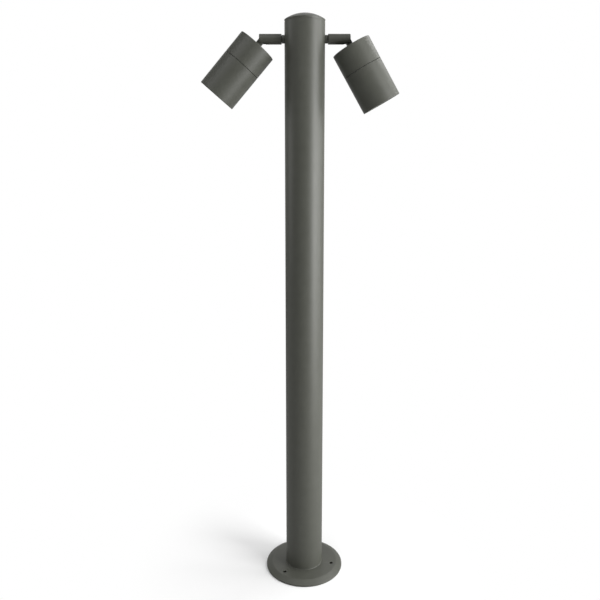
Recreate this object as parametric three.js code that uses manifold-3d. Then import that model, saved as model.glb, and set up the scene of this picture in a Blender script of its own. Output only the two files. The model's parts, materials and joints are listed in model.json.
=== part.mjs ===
// A round outdoor post light with two adjustable spot heads on short side arms.
// Millimetres, +Z up. The origin is the centre of the base plate's underside.
// Right is +X, left is -X, and the screw heads are on the rear, +Y, side.

import * as THREE from "three";
import { mergeVertices } from "three/addons/utils/BufferGeometryUtils.js";
import Module from "manifold-3d";

const wasm = await Module();
wasm.setup();

// ---------------------------------------------------------------- Driving dimensions

const TOTAL_HEIGHT = 888.5;
const SEAT_GAP = 0.1; // between faces that rest on each other
const FIT_GAP = 0.3; // between a piece and the opening that takes it
const OVERCUT = 1; // how far a cutter runs past the face that it opens
const RUNNING_GAP = 0.08; // radial, between a pin and the bore it turns in

const FLANGE_RADIUS = 63.4;
const FLANGE_THICKNESS = 7;
const FLANGE_RIM = 2.6; // upright part of the edge, below the chamfer
const FLANGE_CHAMFER = 9; // radial width of the chamfer
const FLANGE_FOOT_EDGE = 0.3; // small chamfer where the rim meets the ground
const FIXING_HOLES = 3;
const FIXING_HOLE_RADIUS = 2.75;
const FIXING_HOLE_INSET = 7.7; // from the chamfer's inner edge to a hole's centre
const FIRST_FIXING_ANGLE = THREE.MathUtils.degToRad(-13.3);
const CABLE_INLET_RADIUS = 7;
const CABLE_INLET_OFFSET = 11; // each side of the centre: one inlet for the feed, one for looping on

const POST_RADIUS = 30;
const POST_WALL = 2.5;

const CAP_OVERHANG = 0.3;
const CAP_RIM = 2.7;
const CAP_UNDERCUT = 0.8; // the rim's lower edge is turned in
const CAP_DOME = 9.3;
const CAP_WALL = 2.4;
const CAP_SPIGOT = 10;

const INSERT_HEIGHT = 24;
const INSERT_WIDTH = 8.5; // radial
const INSERT_SCREWS = 3;
const INSERT_TAP_DEPTH = 14.4; // of the blind holes in the insert's underside
const INSERT_SCREW_REACH = 11.9; // how far those screws run into the insert
const PLATE_TAP_DEPTH = 9.6; // of the blind hole in the insert's top
const FIRST_INSERT_ANGLE = THREE.MathUtils.degToRad(30);

const PLATE_THICKNESS = 1.2;
const PLATE_HEIGHT = 72;
const PLATE_HALF_WIDTH = 13;
const PLATE_SETBACK = 5; // from the insert's inner edge in to the plate's back

const BLOCK_HEIGHT = 20;
const BLOCK_DEPTH = 12;
const BLOCK_LIFT = 28; // from the insert's top to the block's underside
const POLE_PITCH = 8;
const WIRE_HOLE_RADIUS = 2;
const WIRE_HOLE_DEPTH = 6;
const CLAMP_HOLE_RADIUS = 2;
const CLAMP_HOLE_DEPTH = 3;
const CLAMP_HOLE_INSET = 4; // from the block's ends

const LEAD_DIAMETER = 4.5;
const LEAD_BEND = 4 * LEAD_DIAMETER;

const ARM_DROP = 36; // from the top of the cap to the arms' axis
const NECK_RADIUS = 6;
const NECK_SHOW = 4; // length that shows between post and sleeve
const SHANK_RADIUS = 5;
const NECK_BORE = 3;
const SPIGOT_RADIUS = 4.6;
const SPIGOT_LENGTH = 16;
const GROOVE_DEPTH = 0.7;
const GROOVE_WIDTH = 4;
const GROOVE_SETBACK = 9.6; // from the spigot's shoulder to the groove's middle
const WASHER_RADIUS = 8;
const WASHER_THICKNESS = 1.5;
const NECK_NUT_RADIUS = 7.5; // over the corners
const NECK_NUT_THICKNESS = 4;

const SLEEVE_RADIUS = 7.5;
const SLEEVE_EDGE = 0.6;
const TONGUE_RADIUS = 4.4;
const TONGUE_THICKNESS = 7.4;
const TONGUE_CLEARANCE = 0.5; // between the tongue's round end and the slot's end
const PIVOT_SCREW_RADIUS = 2;
const PIVOT_HEAD_RADIUS = 3.3;
const PIVOT_HEAD_HEIGHT = 2.1;
const CHEEK_FLOOR = 1.2; // metal left in front of the pivot screw's tip
const GRUB_RADIUS = 1.5;
const GRUB_SOCKET_RADIUS = 0.75;
const GRUB_SOCKET_DEPTH = 1.2;

const HEAD_RADIUS = 30;
const HEAD_LENGTH = 95;
const HEAD_TO_POST = 2.3; // between post and head when the head hangs straight down
const REAR_LENGTH = 36;
const REAR_SEAM = 0.6; // width of the fine groove between the two halves
const HEAD_EDGE = 0.6;
const BACK_WALL = 4;
const REAR_WALL = 3;
const FRONT_WALL = 2.5;
const HOUSING_SPIGOT = 12;
const HOUSING_SPIGOT_WALL = 2.6;
const COLLAR_RADIUS = 6.25;
const COLLAR_THICKNESS = 2;
const COLLAR_EDGE = 0.4;
const COLLAR_CLEARANCE = 2.3; // below the sleeve's underside
const KNUCKLE_SHANK_RADIUS = 4.9;
const KNUCKLE_NUT_RADIUS = 8.1; // over the corners
const KNUCKLE_NUT_THICKNESS = 4;
const THREAD_PROUD = 1.5; // what shows of the shank past its nut
const SEAL_RADIUS = 0.8; // of the round section of both O-rings

const LIP_THICKNESS = 2.2;
const LIP_WIDTH = 4;
const GASKET_THICKNESS = 0.8;
const GASKET_WIDTH = 4;
const LENS_THICKNESS = 3;
const RING_THICKNESS = 1.2;
const RING_WIDTH = 2.4;

const LAMP_RADIUS = 25; // standard 50 mm reflector lamp
const LAMP_LENGTH = 46.5;
const LAMP_BASE_RADIUS = 10;
const LAMP_TO_RING = 0.6;
const LAMP_NECK_LENGTH = 12; // of the straight part behind the bowl
const LAMP_RIM_DEPTH = 5;
const LAMP_RIM_WIDTH = 1.6;
const LAMP_RIM_STEP = 0.6; // the rim stands out this far from the bowl
const LAMP_BASE_EDGE = 1;
const LAMP_FACE_RECESS = 0.8;
const PIN_RADIUS = 2.3;
const PIN_LENGTH = 7;
const PIN_SPACING = 10;
const HOLDER_RADIUS = 13;
const HOLDER_HEIGHT = 14;
const HOLDER_EDGE = 0.8;
const BRACKET_THICKNESS = 1.2;
const BRACKET_WIDTH = 14;
const BRACKET_HALF_SPAN = 13;
const BRACKET_FOOT = 8;
const BRACKET_TAP_DEPTH = 3; // of the blind holes in the back wall
const BRACKET_SCREW_REACH = 2.6; // how far those screws run into the back wall
const LAMP_LEAD_RADIUS = 2;
const LAMP_LEAD_ENTRY = 3; // how far the lamp's lead runs into the holder

const SMALL_SCREW_RADIUS = 1.25; // M3
const SMALL_HEAD = { radius: 2.6, height: 1.8 };
const SCREW_RADIUS = 1.9; // M4
const SCREW_HEAD = { radius: 3.6, height: 2.4 };
const SOCKET_RADIUS = 1.2; // hex socket of the countersunk screws
const SOCKET_DEPTH = 1.3;
const SCREW_PROUD = 1; // what shows of a screw or a thread past its nut or plate
const EARTH_SCREW_PROUD = 6;
const HEX = 6;

const SIDES = [
  { name: "left", sign: -1, tilt: THREE.MathUtils.degToRad(40.9) },
  { name: "right", sign: 1, tilt: THREE.MathUtils.degToRad(29.9) },
];

const FINE = 40; // segments of the post-sized rounds
const MEDIUM = 32; // segments of the head-sized rounds
const SLEEVE_SIDES = 24; // segments of the arm sleeves
const SMALL = 16; // segments of the arm-sized rounds
const TINY = 8; // segments of screws and their holes
const HIDDEN = 24; // segments of the lamp and the insert, which hardly show
const LEAD_STEPS = 60;

// ---------------------------------------------------------------- Derived places

const POST_BORE = POST_RADIUS - POST_WALL;
const CAP_RIM_Z = TOTAL_HEIGHT - CAP_DOME;
const POST_TOP = CAP_RIM_Z - CAP_RIM;
const ARM_Z = TOTAL_HEIGHT - ARM_DROP;
const FIXING_CIRCLE = FLANGE_RADIUS - FLANGE_CHAMFER - FIXING_HOLE_INSET;

const INSERT_BORE = POST_BORE - INSERT_WIDTH;
const INSERT_BOTTOM = FLANGE_THICKNESS + SEAT_GAP;
const INSERT_TOP = INSERT_BOTTOM + INSERT_HEIGHT;
const INSERT_SCREW_CIRCLE = (INSERT_BORE + POST_BORE) / 2;

const PLATE_BACK = INSERT_BORE - PLATE_SETBACK;
const PLATE_FRONT = PLATE_BACK - PLATE_THICKNESS;
const PLATE_BOTTOM = INSERT_TOP + SEAT_GAP;
const BLOCK_BACK = PLATE_FRONT - SEAT_GAP;
const BLOCK_MIDDLE = BLOCK_BACK - BLOCK_DEPTH / 2;
const BLOCK_BOTTOM = PLATE_BOTTOM + BLOCK_LIFT;
const BLOCK_TOP = BLOCK_BOTTOM + BLOCK_HEIGHT;

const NECK_OUT = POST_RADIUS + NECK_SHOW;
const SPIGOT_END = NECK_OUT + SPIGOT_LENGTH;
const GROOVE_X = NECK_OUT + GROOVE_SETBACK;
const PIVOT_X = POST_RADIUS + HEAD_TO_POST + HEAD_RADIUS;
const SLEEVE_START = NECK_OUT + FIT_GAP;
const SLEEVE_END = PIVOT_X + TONGUE_RADIUS + 2 * FIT_GAP;
const SLOT_START = PIVOT_X - TONGUE_RADIUS - TONGUE_CLEARANCE;
const SLOT_HALF_WIDTH = TONGUE_THICKNESS / 2 + FIT_GAP;
const PIVOT_HEAD_SEAT = SLEEVE_RADIUS - PIVOT_HEAD_HEIGHT - FIT_GAP;

const COLLAR_TOP = SLEEVE_RADIUS + COLLAR_CLEARANCE;
const HEAD_BACK = COLLAR_TOP + COLLAR_THICKNESS; // pivot to the head's back face
const SLEEVE_BORE = HEAD_RADIUS - FRONT_WALL;
const FRONT_START = REAR_LENGTH + REAR_SEAM;
const HOUSING_SPIGOT_RADIUS = SLEEVE_BORE - FIT_GAP;
const HOUSING_SPIGOT_END = REAR_LENGTH + HOUSING_SPIGOT;
const HOUSING_SPIGOT_BORE = HOUSING_SPIGOT_RADIUS - HOUSING_SPIGOT_WALL;
const HOUSING_SEAL_PLACE = REAR_LENGTH + HOUSING_SPIGOT / 2;

const LIP_BACK = HEAD_LENGTH - LIP_THICKNESS;
const GASKET_BACK = LIP_BACK - GASKET_THICKNESS;
const LENS_BACK = GASKET_BACK - LENS_THICKNESS;
const RING_BACK = LENS_BACK - RING_THICKNESS;
const LAMP_FRONT = RING_BACK - LAMP_TO_RING;
const LAMP_BASE = LAMP_FRONT - LAMP_LENGTH;
const HOLDER_FRONT = LAMP_BASE - SEAT_GAP;
const HOLDER_BACK = HOLDER_FRONT - HOLDER_HEIGHT;
const BRACKET_TOP = HOLDER_BACK - SEAT_GAP;

// ---------------------------------------------------------------- Solids

/** A closed geometry as a solid, with its faces turned outward. */
function toSolid(geometry) {
  const bare = geometry.clone();
  bare.deleteAttribute("normal");
  bare.deleteAttribute("uv");
  const welded = mergeVertices(bare, 1e-4);
  const corners = [];
  for (let i = 0; i < welded.index.count; i += 3) {
    const [a, b, c] = [0, 1, 2].map((k) => welded.index.getX(i + k));
    if (a !== b && b !== c && c !== a) corners.push(a, b, c);
  }
  const build = (order) =>
    new wasm.Manifold(
      new wasm.Mesh({
        numProp: 3,
        vertProperties: new Float32Array(welded.attributes.position.array),
        triVerts: new Uint32Array(order),
      }),
    );
  const solid = build(corners);
  return solid.volume() > 0 ? solid : build(corners.reverse());
}

/** A solid as a geometry with normals. */
function toGeometry(solid) {
  const mesh = solid.getMesh();
  const geometry = new THREE.BufferGeometry();
  const positions = new Float32Array(mesh.vertProperties);
  geometry.setAttribute("position", new THREE.BufferAttribute(positions, 3));
  geometry.setIndex(new THREE.BufferAttribute(new Uint32Array(mesh.triVerts), 1));
  geometry.computeVertexNormals();
  return geometry;
}

/** Joins the first geometry to the others. */
function fuse(first, ...others) {
  return toGeometry(others.reduce((sum, g) => sum.add(toSolid(g)), toSolid(first)));
}

/** Cuts the other geometries out of the first. */
function cut(first, ...others) {
  return toGeometry(others.reduce((rest, g) => rest.subtract(toSolid(g)), toSolid(first)));
}

/** A profile of [radius, height] pairs turned about Z; a ring's profile closes on itself. */
function turned(pairs, segments) {
  const points = pairs.map(([r, z]) => new THREE.Vector2(r, z));
  const onAxis = pairs[0][0] === 0 && pairs.at(-1)[0] === 0;
  if (!onAxis) points.push(points[0].clone());
  return toGeometry(toSolid(new THREE.LatheGeometry(points, segments).rotateX(Math.PI / 2)));
}

/** A round bar along Z. */
function bar(radius, from, to, segments = SMALL) {
  return new THREE.CylinderGeometry(radius, radius, to - from, segments)
    .rotateX(Math.PI / 2)
    .translate(0, 0, (from + to) / 2);
}

/** A tube along Z. */
function tube(outer, inner, from, to, segments) {
  return turned([[inner, from], [outer, from], [outer, to], [inner, to]], segments);
}

/** A ring of round section, about Z. */
function roundRing(radius, section, height, segments) {
  const steps = 6;
  const pairs = Array.from({ length: steps }, (_, i) => {
    const angle = (2 * Math.PI * i) / steps;
    return [radius + section * Math.cos(angle), height + section * Math.sin(angle)];
  });
  return turned(pairs, segments);
}

/** A box between two corners. */
function box([x0, y0, z0], [x1, y1, z1]) {
  return new THREE.BoxGeometry(x1 - x0, y1 - y0, z1 - z0)
    .translate((x0 + x1) / 2, (y0 + y1) / 2, (z0 + z1) / 2);
}

/** Turns a geometry made along Z to lie along X. */
const alongX = (geometry) => geometry.rotateY(Math.PI / 2);

/** Turns a geometry made along Z to lie along Y. */
const alongY = (geometry) => geometry.rotateX(-Math.PI / 2);

/** The place of each of count features on a circle. */
function ringOf(count, radius, first) {
  return Array.from({ length: count }, (_, i) => {
    const angle = first + (2 * Math.PI * i) / count;
    return [radius * Math.cos(angle), radius * Math.sin(angle)];
  });
}

/** A pan-head screw with a hex socket; its head sits above height 0 and it points down. */
function panScrew(radius, length, { radius: headRadius, height }) {
  const shoulder = height / 2;
  const head = turned(
    [
      [0, 0],
      [headRadius, 0],
      [headRadius, shoulder],
      [headRadius - shoulder, height],
      [0, height],
    ],
    TINY,
  );
  const socket = bar(radius * 0.7, shoulder, height + OVERCUT, HEX);
  return cut(fuse(head, bar(radius, -length, shoulder / 2, TINY)), socket);
}

// ---------------------------------------------------------------- Finishes

const FINISHES = {
  paint: { color: 0x55564f, roughness: 0.55, metalness: 0.2 },
  aluminium: { color: 0xb9bbbd, roughness: 0.4, metalness: 0.9 },
  steel: { color: 0x9a9c9e, roughness: 0.35, metalness: 0.9 },
  rubber: { color: 0x1b1b1b, roughness: 0.8, metalness: 0 },
  silicone: { color: 0xd8d8d4, roughness: 0.6, metalness: 0 },
  cable: { color: 0x202020, roughness: 0.6, metalness: 0 },
  brass: { color: 0xc9a85a, roughness: 0.35, metalness: 0.9 },
  nylon: { color: 0xe6e4dc, roughness: 0.5, metalness: 0 },
  ceramic: { color: 0xf0ede4, roughness: 0.4, metalness: 0 },
  lamp: { color: 0xdcdcdc, roughness: 0.35, metalness: 0.1 },
  glass: { color: 0xdfe8e8, roughness: 0.05, metalness: 0 },
};

/** Adds a named mesh with a material of its own to a group. */
function place(group, name, finish, geometry) {
  const mesh = new THREE.Mesh(geometry, new THREE.MeshStandardMaterial(FINISHES[finish]));
  mesh.name = name;
  group.add(mesh);
  return mesh;
}

// ---------------------------------------------------------------- Base, post and cap

/** Chamfered round plate with fixing holes, two cable inlets and countersinks underneath. */
function baseFlange() {
  const plate = turned(
    [
      [0, 0],
      [FLANGE_RADIUS - FLANGE_FOOT_EDGE, 0],
      [FLANGE_RADIUS, FLANGE_FOOT_EDGE],
      [FLANGE_RADIUS, FLANGE_RIM],
      [FLANGE_RADIUS - FLANGE_CHAMFER, FLANGE_THICKNESS],
      [0, FLANGE_THICKNESS],
    ],
    FINE,
  );
  const through = FLANGE_THICKNESS + OVERCUT;
  const inlets = [-CABLE_INLET_OFFSET, CABLE_INLET_OFFSET].map((x) =>
    bar(CABLE_INLET_RADIUS, -OVERCUT, through, SMALL).translate(x, 0, 0),
  );
  const fixings = ringOf(FIXING_HOLES, FIXING_CIRCLE, FIRST_FIXING_ANGLE).map(([x, y]) =>
    bar(FIXING_HOLE_RADIUS, -OVERCUT, through, SMALL).translate(x, y, 0),
  );
  const sinkRadius = 2 * SCREW_RADIUS + FIT_GAP;
  const screwHoles = ringOf(INSERT_SCREWS, INSERT_SCREW_CIRCLE, FIRST_INSERT_ANGLE).map(([x, y]) =>
    turned(
      [
        [0, -OVERCUT],
        [sinkRadius, -OVERCUT],
        [sinkRadius, FIT_GAP],
        [SCREW_RADIUS + FIT_GAP, FIT_GAP + SCREW_RADIUS],
        [SCREW_RADIUS + FIT_GAP, through],
        [0, through],
      ],
      TINY,
    ).translate(x, y, 0),
  );
  return cut(plate, ...inlets, ...fixings, ...screwHoles);
}

/** Ring inside the foot of the tube that the base's screws pull on. */
function postInsert() {
  const ring = tube(POST_BORE - FIT_GAP / 2, INSERT_BORE, INSERT_BOTTOM, INSERT_TOP, HIDDEN);
  const tapped = ringOf(INSERT_SCREWS, INSERT_SCREW_CIRCLE, FIRST_INSERT_ANGLE).map(([x, y]) =>
    bar(SCREW_RADIUS + FIT_GAP / 2, 0, INSERT_BOTTOM + INSERT_TAP_DEPTH, TINY).translate(x, y, 0),
  );
  const plateTap = bar(
    SMALL_SCREW_RADIUS + FIT_GAP / 2,
    INSERT_TOP - PLATE_TAP_DEPTH,
    INSERT_TOP + OVERCUT,
    TINY,
  );
  return cut(ring, ...tapped, plateTap.translate(0, INSERT_SCREW_CIRCLE, 0));
}

/** Countersunk screw, from below through the base into the insert. */
function insertScrew() {
  const tip = INSERT_BOTTOM + INSERT_SCREW_REACH;
  const point = SCREW_RADIUS / 3;
  const body = turned(
    [
      [0, FIT_GAP],
      [2 * SCREW_RADIUS, FIT_GAP],
      [SCREW_RADIUS, FIT_GAP + SCREW_RADIUS],
      [SCREW_RADIUS, tip - point],
      [SCREW_RADIUS - point, tip],
      [0, tip],
    ],
    TINY,
  );
  return cut(body, bar(SOCKET_RADIUS, -OVERCUT, FIT_GAP + SOCKET_DEPTH, HEX));
}

/** Tube with a round hole for each arm's shank. */
function postTube() {
  const wall = tube(POST_RADIUS, POST_BORE, FLANGE_THICKNESS + SEAT_GAP, POST_TOP - SEAT_GAP, FINE);
  const reach = POST_RADIUS + OVERCUT;
  const armHoles = alongX(bar(SHANK_RADIUS + SEAT_GAP, -reach, reach, SMALL)).translate(0, 0, ARM_Z);
  return cut(wall, armHoles);
}

/** Shallow dome with a thin rim and a hollow spigot that fits inside the tube. */
function capShell() {
  const rim = POST_RADIUS + CAP_OVERHANG;
  const curve = (rim * rim + CAP_DOME * CAP_DOME) / (2 * CAP_DOME);
  const span = Math.asin(rim / curve);
  const steps = 6;
  const dome = Array.from({ length: steps }, (_, i) => {
    const angle = span * (1 - i / steps);
    return [curve * Math.sin(angle), TOTAL_HEIGHT - curve + curve * Math.cos(angle)];
  });
  const spigot = POST_BORE - FIT_GAP;
  const bottom = POST_TOP - CAP_SPIGOT;
  const groove = bottom + CAP_SPIGOT / 2;
  const grooveFloor = spigot - 2 * SEAL_RADIUS;
  const inside = spigot - CAP_WALL;
  const ceiling = CAP_RIM_Z - CAP_WALL / 2;
  return turned(
    [
      [0, ceiling],
      [inside, ceiling],
      [inside, bottom],
      [spigot, bottom],
      [spigot, groove - SEAL_RADIUS],
      [grooveFloor, groove - SEAL_RADIUS],
      [grooveFloor, groove + SEAL_RADIUS],
      [spigot, groove + SEAL_RADIUS],
      [spigot, POST_TOP],
      [rim - CAP_UNDERCUT, POST_TOP],
      [rim, POST_TOP + CAP_UNDERCUT],
      ...dome,
      [0, TOTAL_HEIGHT],
    ],
    FINE,
  );
}

/** O-ring midway between the floor of a spigot's groove and the bore around the spigot. */
function sealRing(spigotRadius, bore, height, segments) {
  const middle = (spigotRadius - 2 * SEAL_RADIUS + bore) / 2;
  return roundRing(middle, SEAL_RADIUS - SEAT_GAP, height, segments);
}

/** O-ring in the groove of the cap's spigot. */
function capSeal() {
  return sealRing(POST_BORE - FIT_GAP, POST_BORE, POST_TOP - CAP_SPIGOT / 2, FINE);
}

// ---------------------------------------------------------------- Wiring in the post

const EARTH_SCREW_Z = BLOCK_TOP + (PLATE_BOTTOM + PLATE_HEIGHT - BLOCK_TOP) / 2;
const BLOCK_SCREWS = [-POLE_PITCH / 2, POLE_PITCH / 2].map((x) => [x, BLOCK_BOTTOM + BLOCK_HEIGHT / 2]);

/** Bent plate that stands on the insert and carries the terminal block. */
function terminalPlate() {
  const upright = box(
    [-PLATE_HALF_WIDTH, PLATE_FRONT, PLATE_BOTTOM],
    [PLATE_HALF_WIDTH, PLATE_BACK, PLATE_BOTTOM + PLATE_HEIGHT],
  );
  const foot = box(
    [-PLATE_HALF_WIDTH / 2, PLATE_FRONT, PLATE_BOTTOM],
    [PLATE_HALF_WIDTH / 2, INSERT_SCREW_CIRCLE + SMALL_HEAD.radius, PLATE_BOTTOM + PLATE_THICKNESS],
  );
  const across = (x, z, radius) =>
    alongY(bar(radius, PLATE_FRONT - OVERCUT, PLATE_BACK + OVERCUT, TINY)).translate(x, 0, z);
  const blockHoles = BLOCK_SCREWS.map(([x, z]) => across(x, z, SMALL_SCREW_RADIUS + FIT_GAP));
  const footHole = bar(
    SMALL_SCREW_RADIUS + FIT_GAP,
    PLATE_BOTTOM - OVERCUT,
    PLATE_BOTTOM + PLATE_THICKNESS + OVERCUT,
    TINY,
  );
  return cut(
    fuse(upright, foot),
    ...blockHoles,
    across(0, EARTH_SCREW_Z, SCREW_RADIUS + FIT_GAP),
    footHole.translate(0, INSERT_SCREW_CIRCLE, 0),
  );
}

/** Three-pole block: wires enter at the ends, clamp screws face forward. */
function terminalBlock() {
  const half = 1.5 * POLE_PITCH;
  const body = box([-half, BLOCK_BACK - BLOCK_DEPTH, BLOCK_BOTTOM], [half, BLOCK_BACK, BLOCK_TOP]);
  const poles = [-POLE_PITCH, 0, POLE_PITCH];
  const entry = (x, from, to) => bar(WIRE_HOLE_RADIUS, from, to, TINY).translate(x, BLOCK_MIDDLE, 0);
  const entries = poles.flatMap((x) => [
    entry(x, BLOCK_BOTTOM - OVERCUT, BLOCK_BOTTOM + WIRE_HOLE_DEPTH),
    entry(x, BLOCK_TOP - WIRE_HOLE_DEPTH, BLOCK_TOP + OVERCUT),
  ]);
  const front = BLOCK_BACK - BLOCK_DEPTH;
  const clamps = poles.flatMap((x) =>
    [BLOCK_BOTTOM + CLAMP_HOLE_INSET, BLOCK_TOP - CLAMP_HOLE_INSET].map((z) =>
      alongY(bar(CLAMP_HOLE_RADIUS, front - OVERCUT, front + CLAMP_HOLE_DEPTH, TINY)).translate(x, 0, z),
    ),
  );
  const fixings = BLOCK_SCREWS.map(([x, z]) => {
    const hole = bar(SMALL_SCREW_RADIUS + FIT_GAP, front - OVERCUT, BLOCK_BACK + OVERCUT, TINY);
    return alongY(hole).translate(x, 0, z);
  });
  return cut(body, ...entries, ...clamps, ...fixings);
}

/** Insulated lead of one head, from the terminal block up the post and out into the arm. */
function postLead(sign) {
  const runX = 1;
  const runY = 2.6 * sign;
  const bendX = runX + LEAD_BEND;
  const bendZ = ARM_Z - LEAD_BEND;
  const riseFrom = BLOCK_TOP + SEAT_GAP;
  const points = [
    [POLE_PITCH, BLOCK_MIDDLE, riseFrom],
    [POLE_PITCH, BLOCK_MIDDLE, riseFrom + 15],
    [POLE_PITCH / 2, BLOCK_MIDDLE / 2 + runY / 2, riseFrom + 55],
    [runX, runY, riseFrom + 95],
    [runX, runY, (riseFrom + ARM_Z) / 2],
    [runX, runY, bendZ - 60],
    [runX, runY, bendZ],
  ];
  const turns = 4;
  for (let i = 1; i <= turns; i += 1) {
    const angle = (Math.PI / 2) * (i / turns);
    points.push([
      bendX - LEAD_BEND * Math.cos(angle),
      runY * (1 - i / turns),
      bendZ + LEAD_BEND * Math.sin(angle),
    ]);
  }
  points.push([NECK_OUT, 0, ARM_Z], [SLOT_START - 1.5, 0, ARM_Z]);
  const route = new THREE.CatmullRomCurve3(
    points.map(([x, y, z]) => new THREE.Vector3(sign * x, y, z)),
    false,
    "centripetal",
  );
  const section = new THREE.Shape().absarc(0, 0, LEAD_DIAMETER / 2, 0, 2 * Math.PI);
  return new THREE.ExtrudeGeometry(section, {
    steps: LEAD_STEPS,
    curveSegments: 4,
    bevelEnabled: false,
    extrudePath: route,
  });
}

// ---------------------------------------------------------------- Arms

/** Hollow arm stub: shank through the post wall, collar against the post, spigot for the sleeve. */
function neck() {
  const collar = cut(
    alongX(bar(NECK_RADIUS, POST_BORE, NECK_OUT, SMALL)),
    bar(POST_RADIUS + SEAT_GAP, -2 * NECK_RADIUS, 2 * NECK_RADIUS, FINE),
  );
  const shankStart = neckNutStart() - SCREW_PROUD;
  const shoulder = NECK_OUT - NECK_SHOW / 2; // inside the collar, where the round bars join
  const shank = alongX(bar(SHANK_RADIUS, shankStart, shoulder, SMALL));
  const groove = [GROOVE_X - GROOVE_WIDTH / 2, GROOVE_X + GROOVE_WIDTH / 2];
  const spigot = alongX(
    turned(
      [
        [0, shoulder],
        [SPIGOT_RADIUS, shoulder],
        [SPIGOT_RADIUS, groove[0]],
        [SPIGOT_RADIUS - GROOVE_DEPTH, groove[0]],
        [SPIGOT_RADIUS - GROOVE_DEPTH, groove[1]],
        [SPIGOT_RADIUS, groove[1]],
        [SPIGOT_RADIUS, SPIGOT_END],
        [0, SPIGOT_END],
      ],
      SMALL,
    ),
  );
  const bore = alongX(bar(NECK_BORE, shankStart - OVERCUT, SPIGOT_END + OVERCUT, SMALL));
  return cut(fuse(collar, shank, spigot), bore);
}

/** Where the flat washer's outer face meets the curved inside of the post. */
const washerFace = () => Math.sqrt(POST_BORE ** 2 - WASHER_RADIUS ** 2) - SEAT_GAP;

/** Inner end of the neck's nut. */
const neckNutStart = () => washerFace() - WASHER_THICKNESS - SEAT_GAP - NECK_NUT_THICKNESS;

/** Flat sealing washer inside the post. */
function neckWasher() {
  const face = washerFace();
  return alongX(tube(WASHER_RADIUS, SHANK_RADIUS + SEAT_GAP, face - WASHER_THICKNESS, face, SMALL));
}

/** Hexagonal nut with a round bore, from one height to another. */
function nut(cornerRadius, bore, from, to) {
  return cut(bar(cornerRadius, from, to, HEX), bar(bore, from - OVERCUT, to + OVERCUT, SMALL));
}

/** Swivelling sleeve: round bore for the neck at one end, slot for the tongue at the other. */
function armSleeve(rear) {
  const body = turned(
    [
      [0, SLEEVE_START],
      [SLEEVE_RADIUS - SLEEVE_EDGE, SLEEVE_START],
      [SLEEVE_RADIUS, SLEEVE_START + SLEEVE_EDGE],
      [SLEEVE_RADIUS, SLEEVE_END - SLEEVE_EDGE],
      [SLEEVE_RADIUS - SLEEVE_EDGE, SLEEVE_END],
      [0, SLEEVE_END],
    ],
    SLEEVE_SIDES,
  );
  const over = SLEEVE_RADIUS + OVERCUT;
  const slot = box(
    [SLOT_START, -SLOT_HALF_WIDTH, -over],
    [SLEEVE_END + OVERCUT, SLOT_HALF_WIDTH, TONGUE_RADIUS + FIT_GAP],
  );
  const pinHole = alongY(bar(PIVOT_SCREW_RADIUS + RUNNING_GAP, CHEEK_FLOOR - SLEEVE_RADIUS, over, SMALL));
  const headRecess = alongY(bar(PIVOT_HEAD_RADIUS + FIT_GAP, PIVOT_HEAD_SEAT, over, SMALL));
  const grubHole = alongY(bar(GRUB_RADIUS + SEAT_GAP, 0, over, TINY));
  return cut(
    alongX(body),
    alongX(bar(SPIGOT_RADIUS + RUNNING_GAP, SLEEVE_START - OVERCUT, SPIGOT_END + FIT_GAP, SLEEVE_SIDES)),
    alongX(bar(NECK_BORE, SLEEVE_START, SLOT_START + OVERCUT, SMALL)),
    slot,
    toRear(pinHole, rear).translate(PIVOT_X, 0, 0),
    toRear(headRecess, rear).translate(PIVOT_X, 0, 0),
    toRear(grubHole, rear).translate(GROOVE_X, 0, 0),
  );
}

/** Turns what is made towards +Y to the arm's rear side, about the pin's own X place. */
const toRear = (geometry, rear) => (rear > 0 ? geometry : geometry.rotateZ(Math.PI));

/** Grub screw that runs in the neck's groove. */
function grubScrew(rear) {
  const from = SPIGOT_RADIUS - GROOVE_DEPTH + SEAT_GAP;
  const to = SLEEVE_RADIUS - FIT_GAP;
  const socket = bar(GRUB_SOCKET_RADIUS, to - GRUB_SOCKET_DEPTH, to + OVERCUT, HEX);
  const screw = cut(bar(GRUB_RADIUS, from, to, TINY), socket);
  return toRear(alongY(screw), rear).translate(GROOVE_X, 0, 0);
}

/** Pivot screw: head sunk in the rear cheek, shank through the tongue into the front cheek. */
function pivotScrew(rear) {
  const seat = PIVOT_HEAD_SEAT + SEAT_GAP;
  const length = seat + SLEEVE_RADIUS - CHEEK_FLOOR - FIT_GAP;
  const screw = panScrew(PIVOT_SCREW_RADIUS, length, {
    radius: PIVOT_HEAD_RADIUS,
    height: PIVOT_HEAD_HEIGHT,
  });
  return toRear(alongY(screw.translate(0, 0, seat)), rear).translate(PIVOT_X, 0, 0);
}

// ---------------------------------------------------------------- Heads
// In a head's own frame the pivot is the origin and the light leaves along -Z.
// Depths count from the head's back face towards its mouth.

/** Height of a depth in the head's frame. */
const atDepth = (depth) => -(HEAD_BACK + depth);

/** A [radius, depth] profile turned about the head's axis. */
const headTurned = (pairs, segments = MEDIUM) =>
  turned(pairs.map(([r, depth]) => [r, atDepth(depth)]), segments);

/** A bar between two depths on the head's axis. */
const headBar = (radius, from, to, segments = SMALL) => bar(radius, atDepth(to), atDepth(from), segments);

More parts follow.
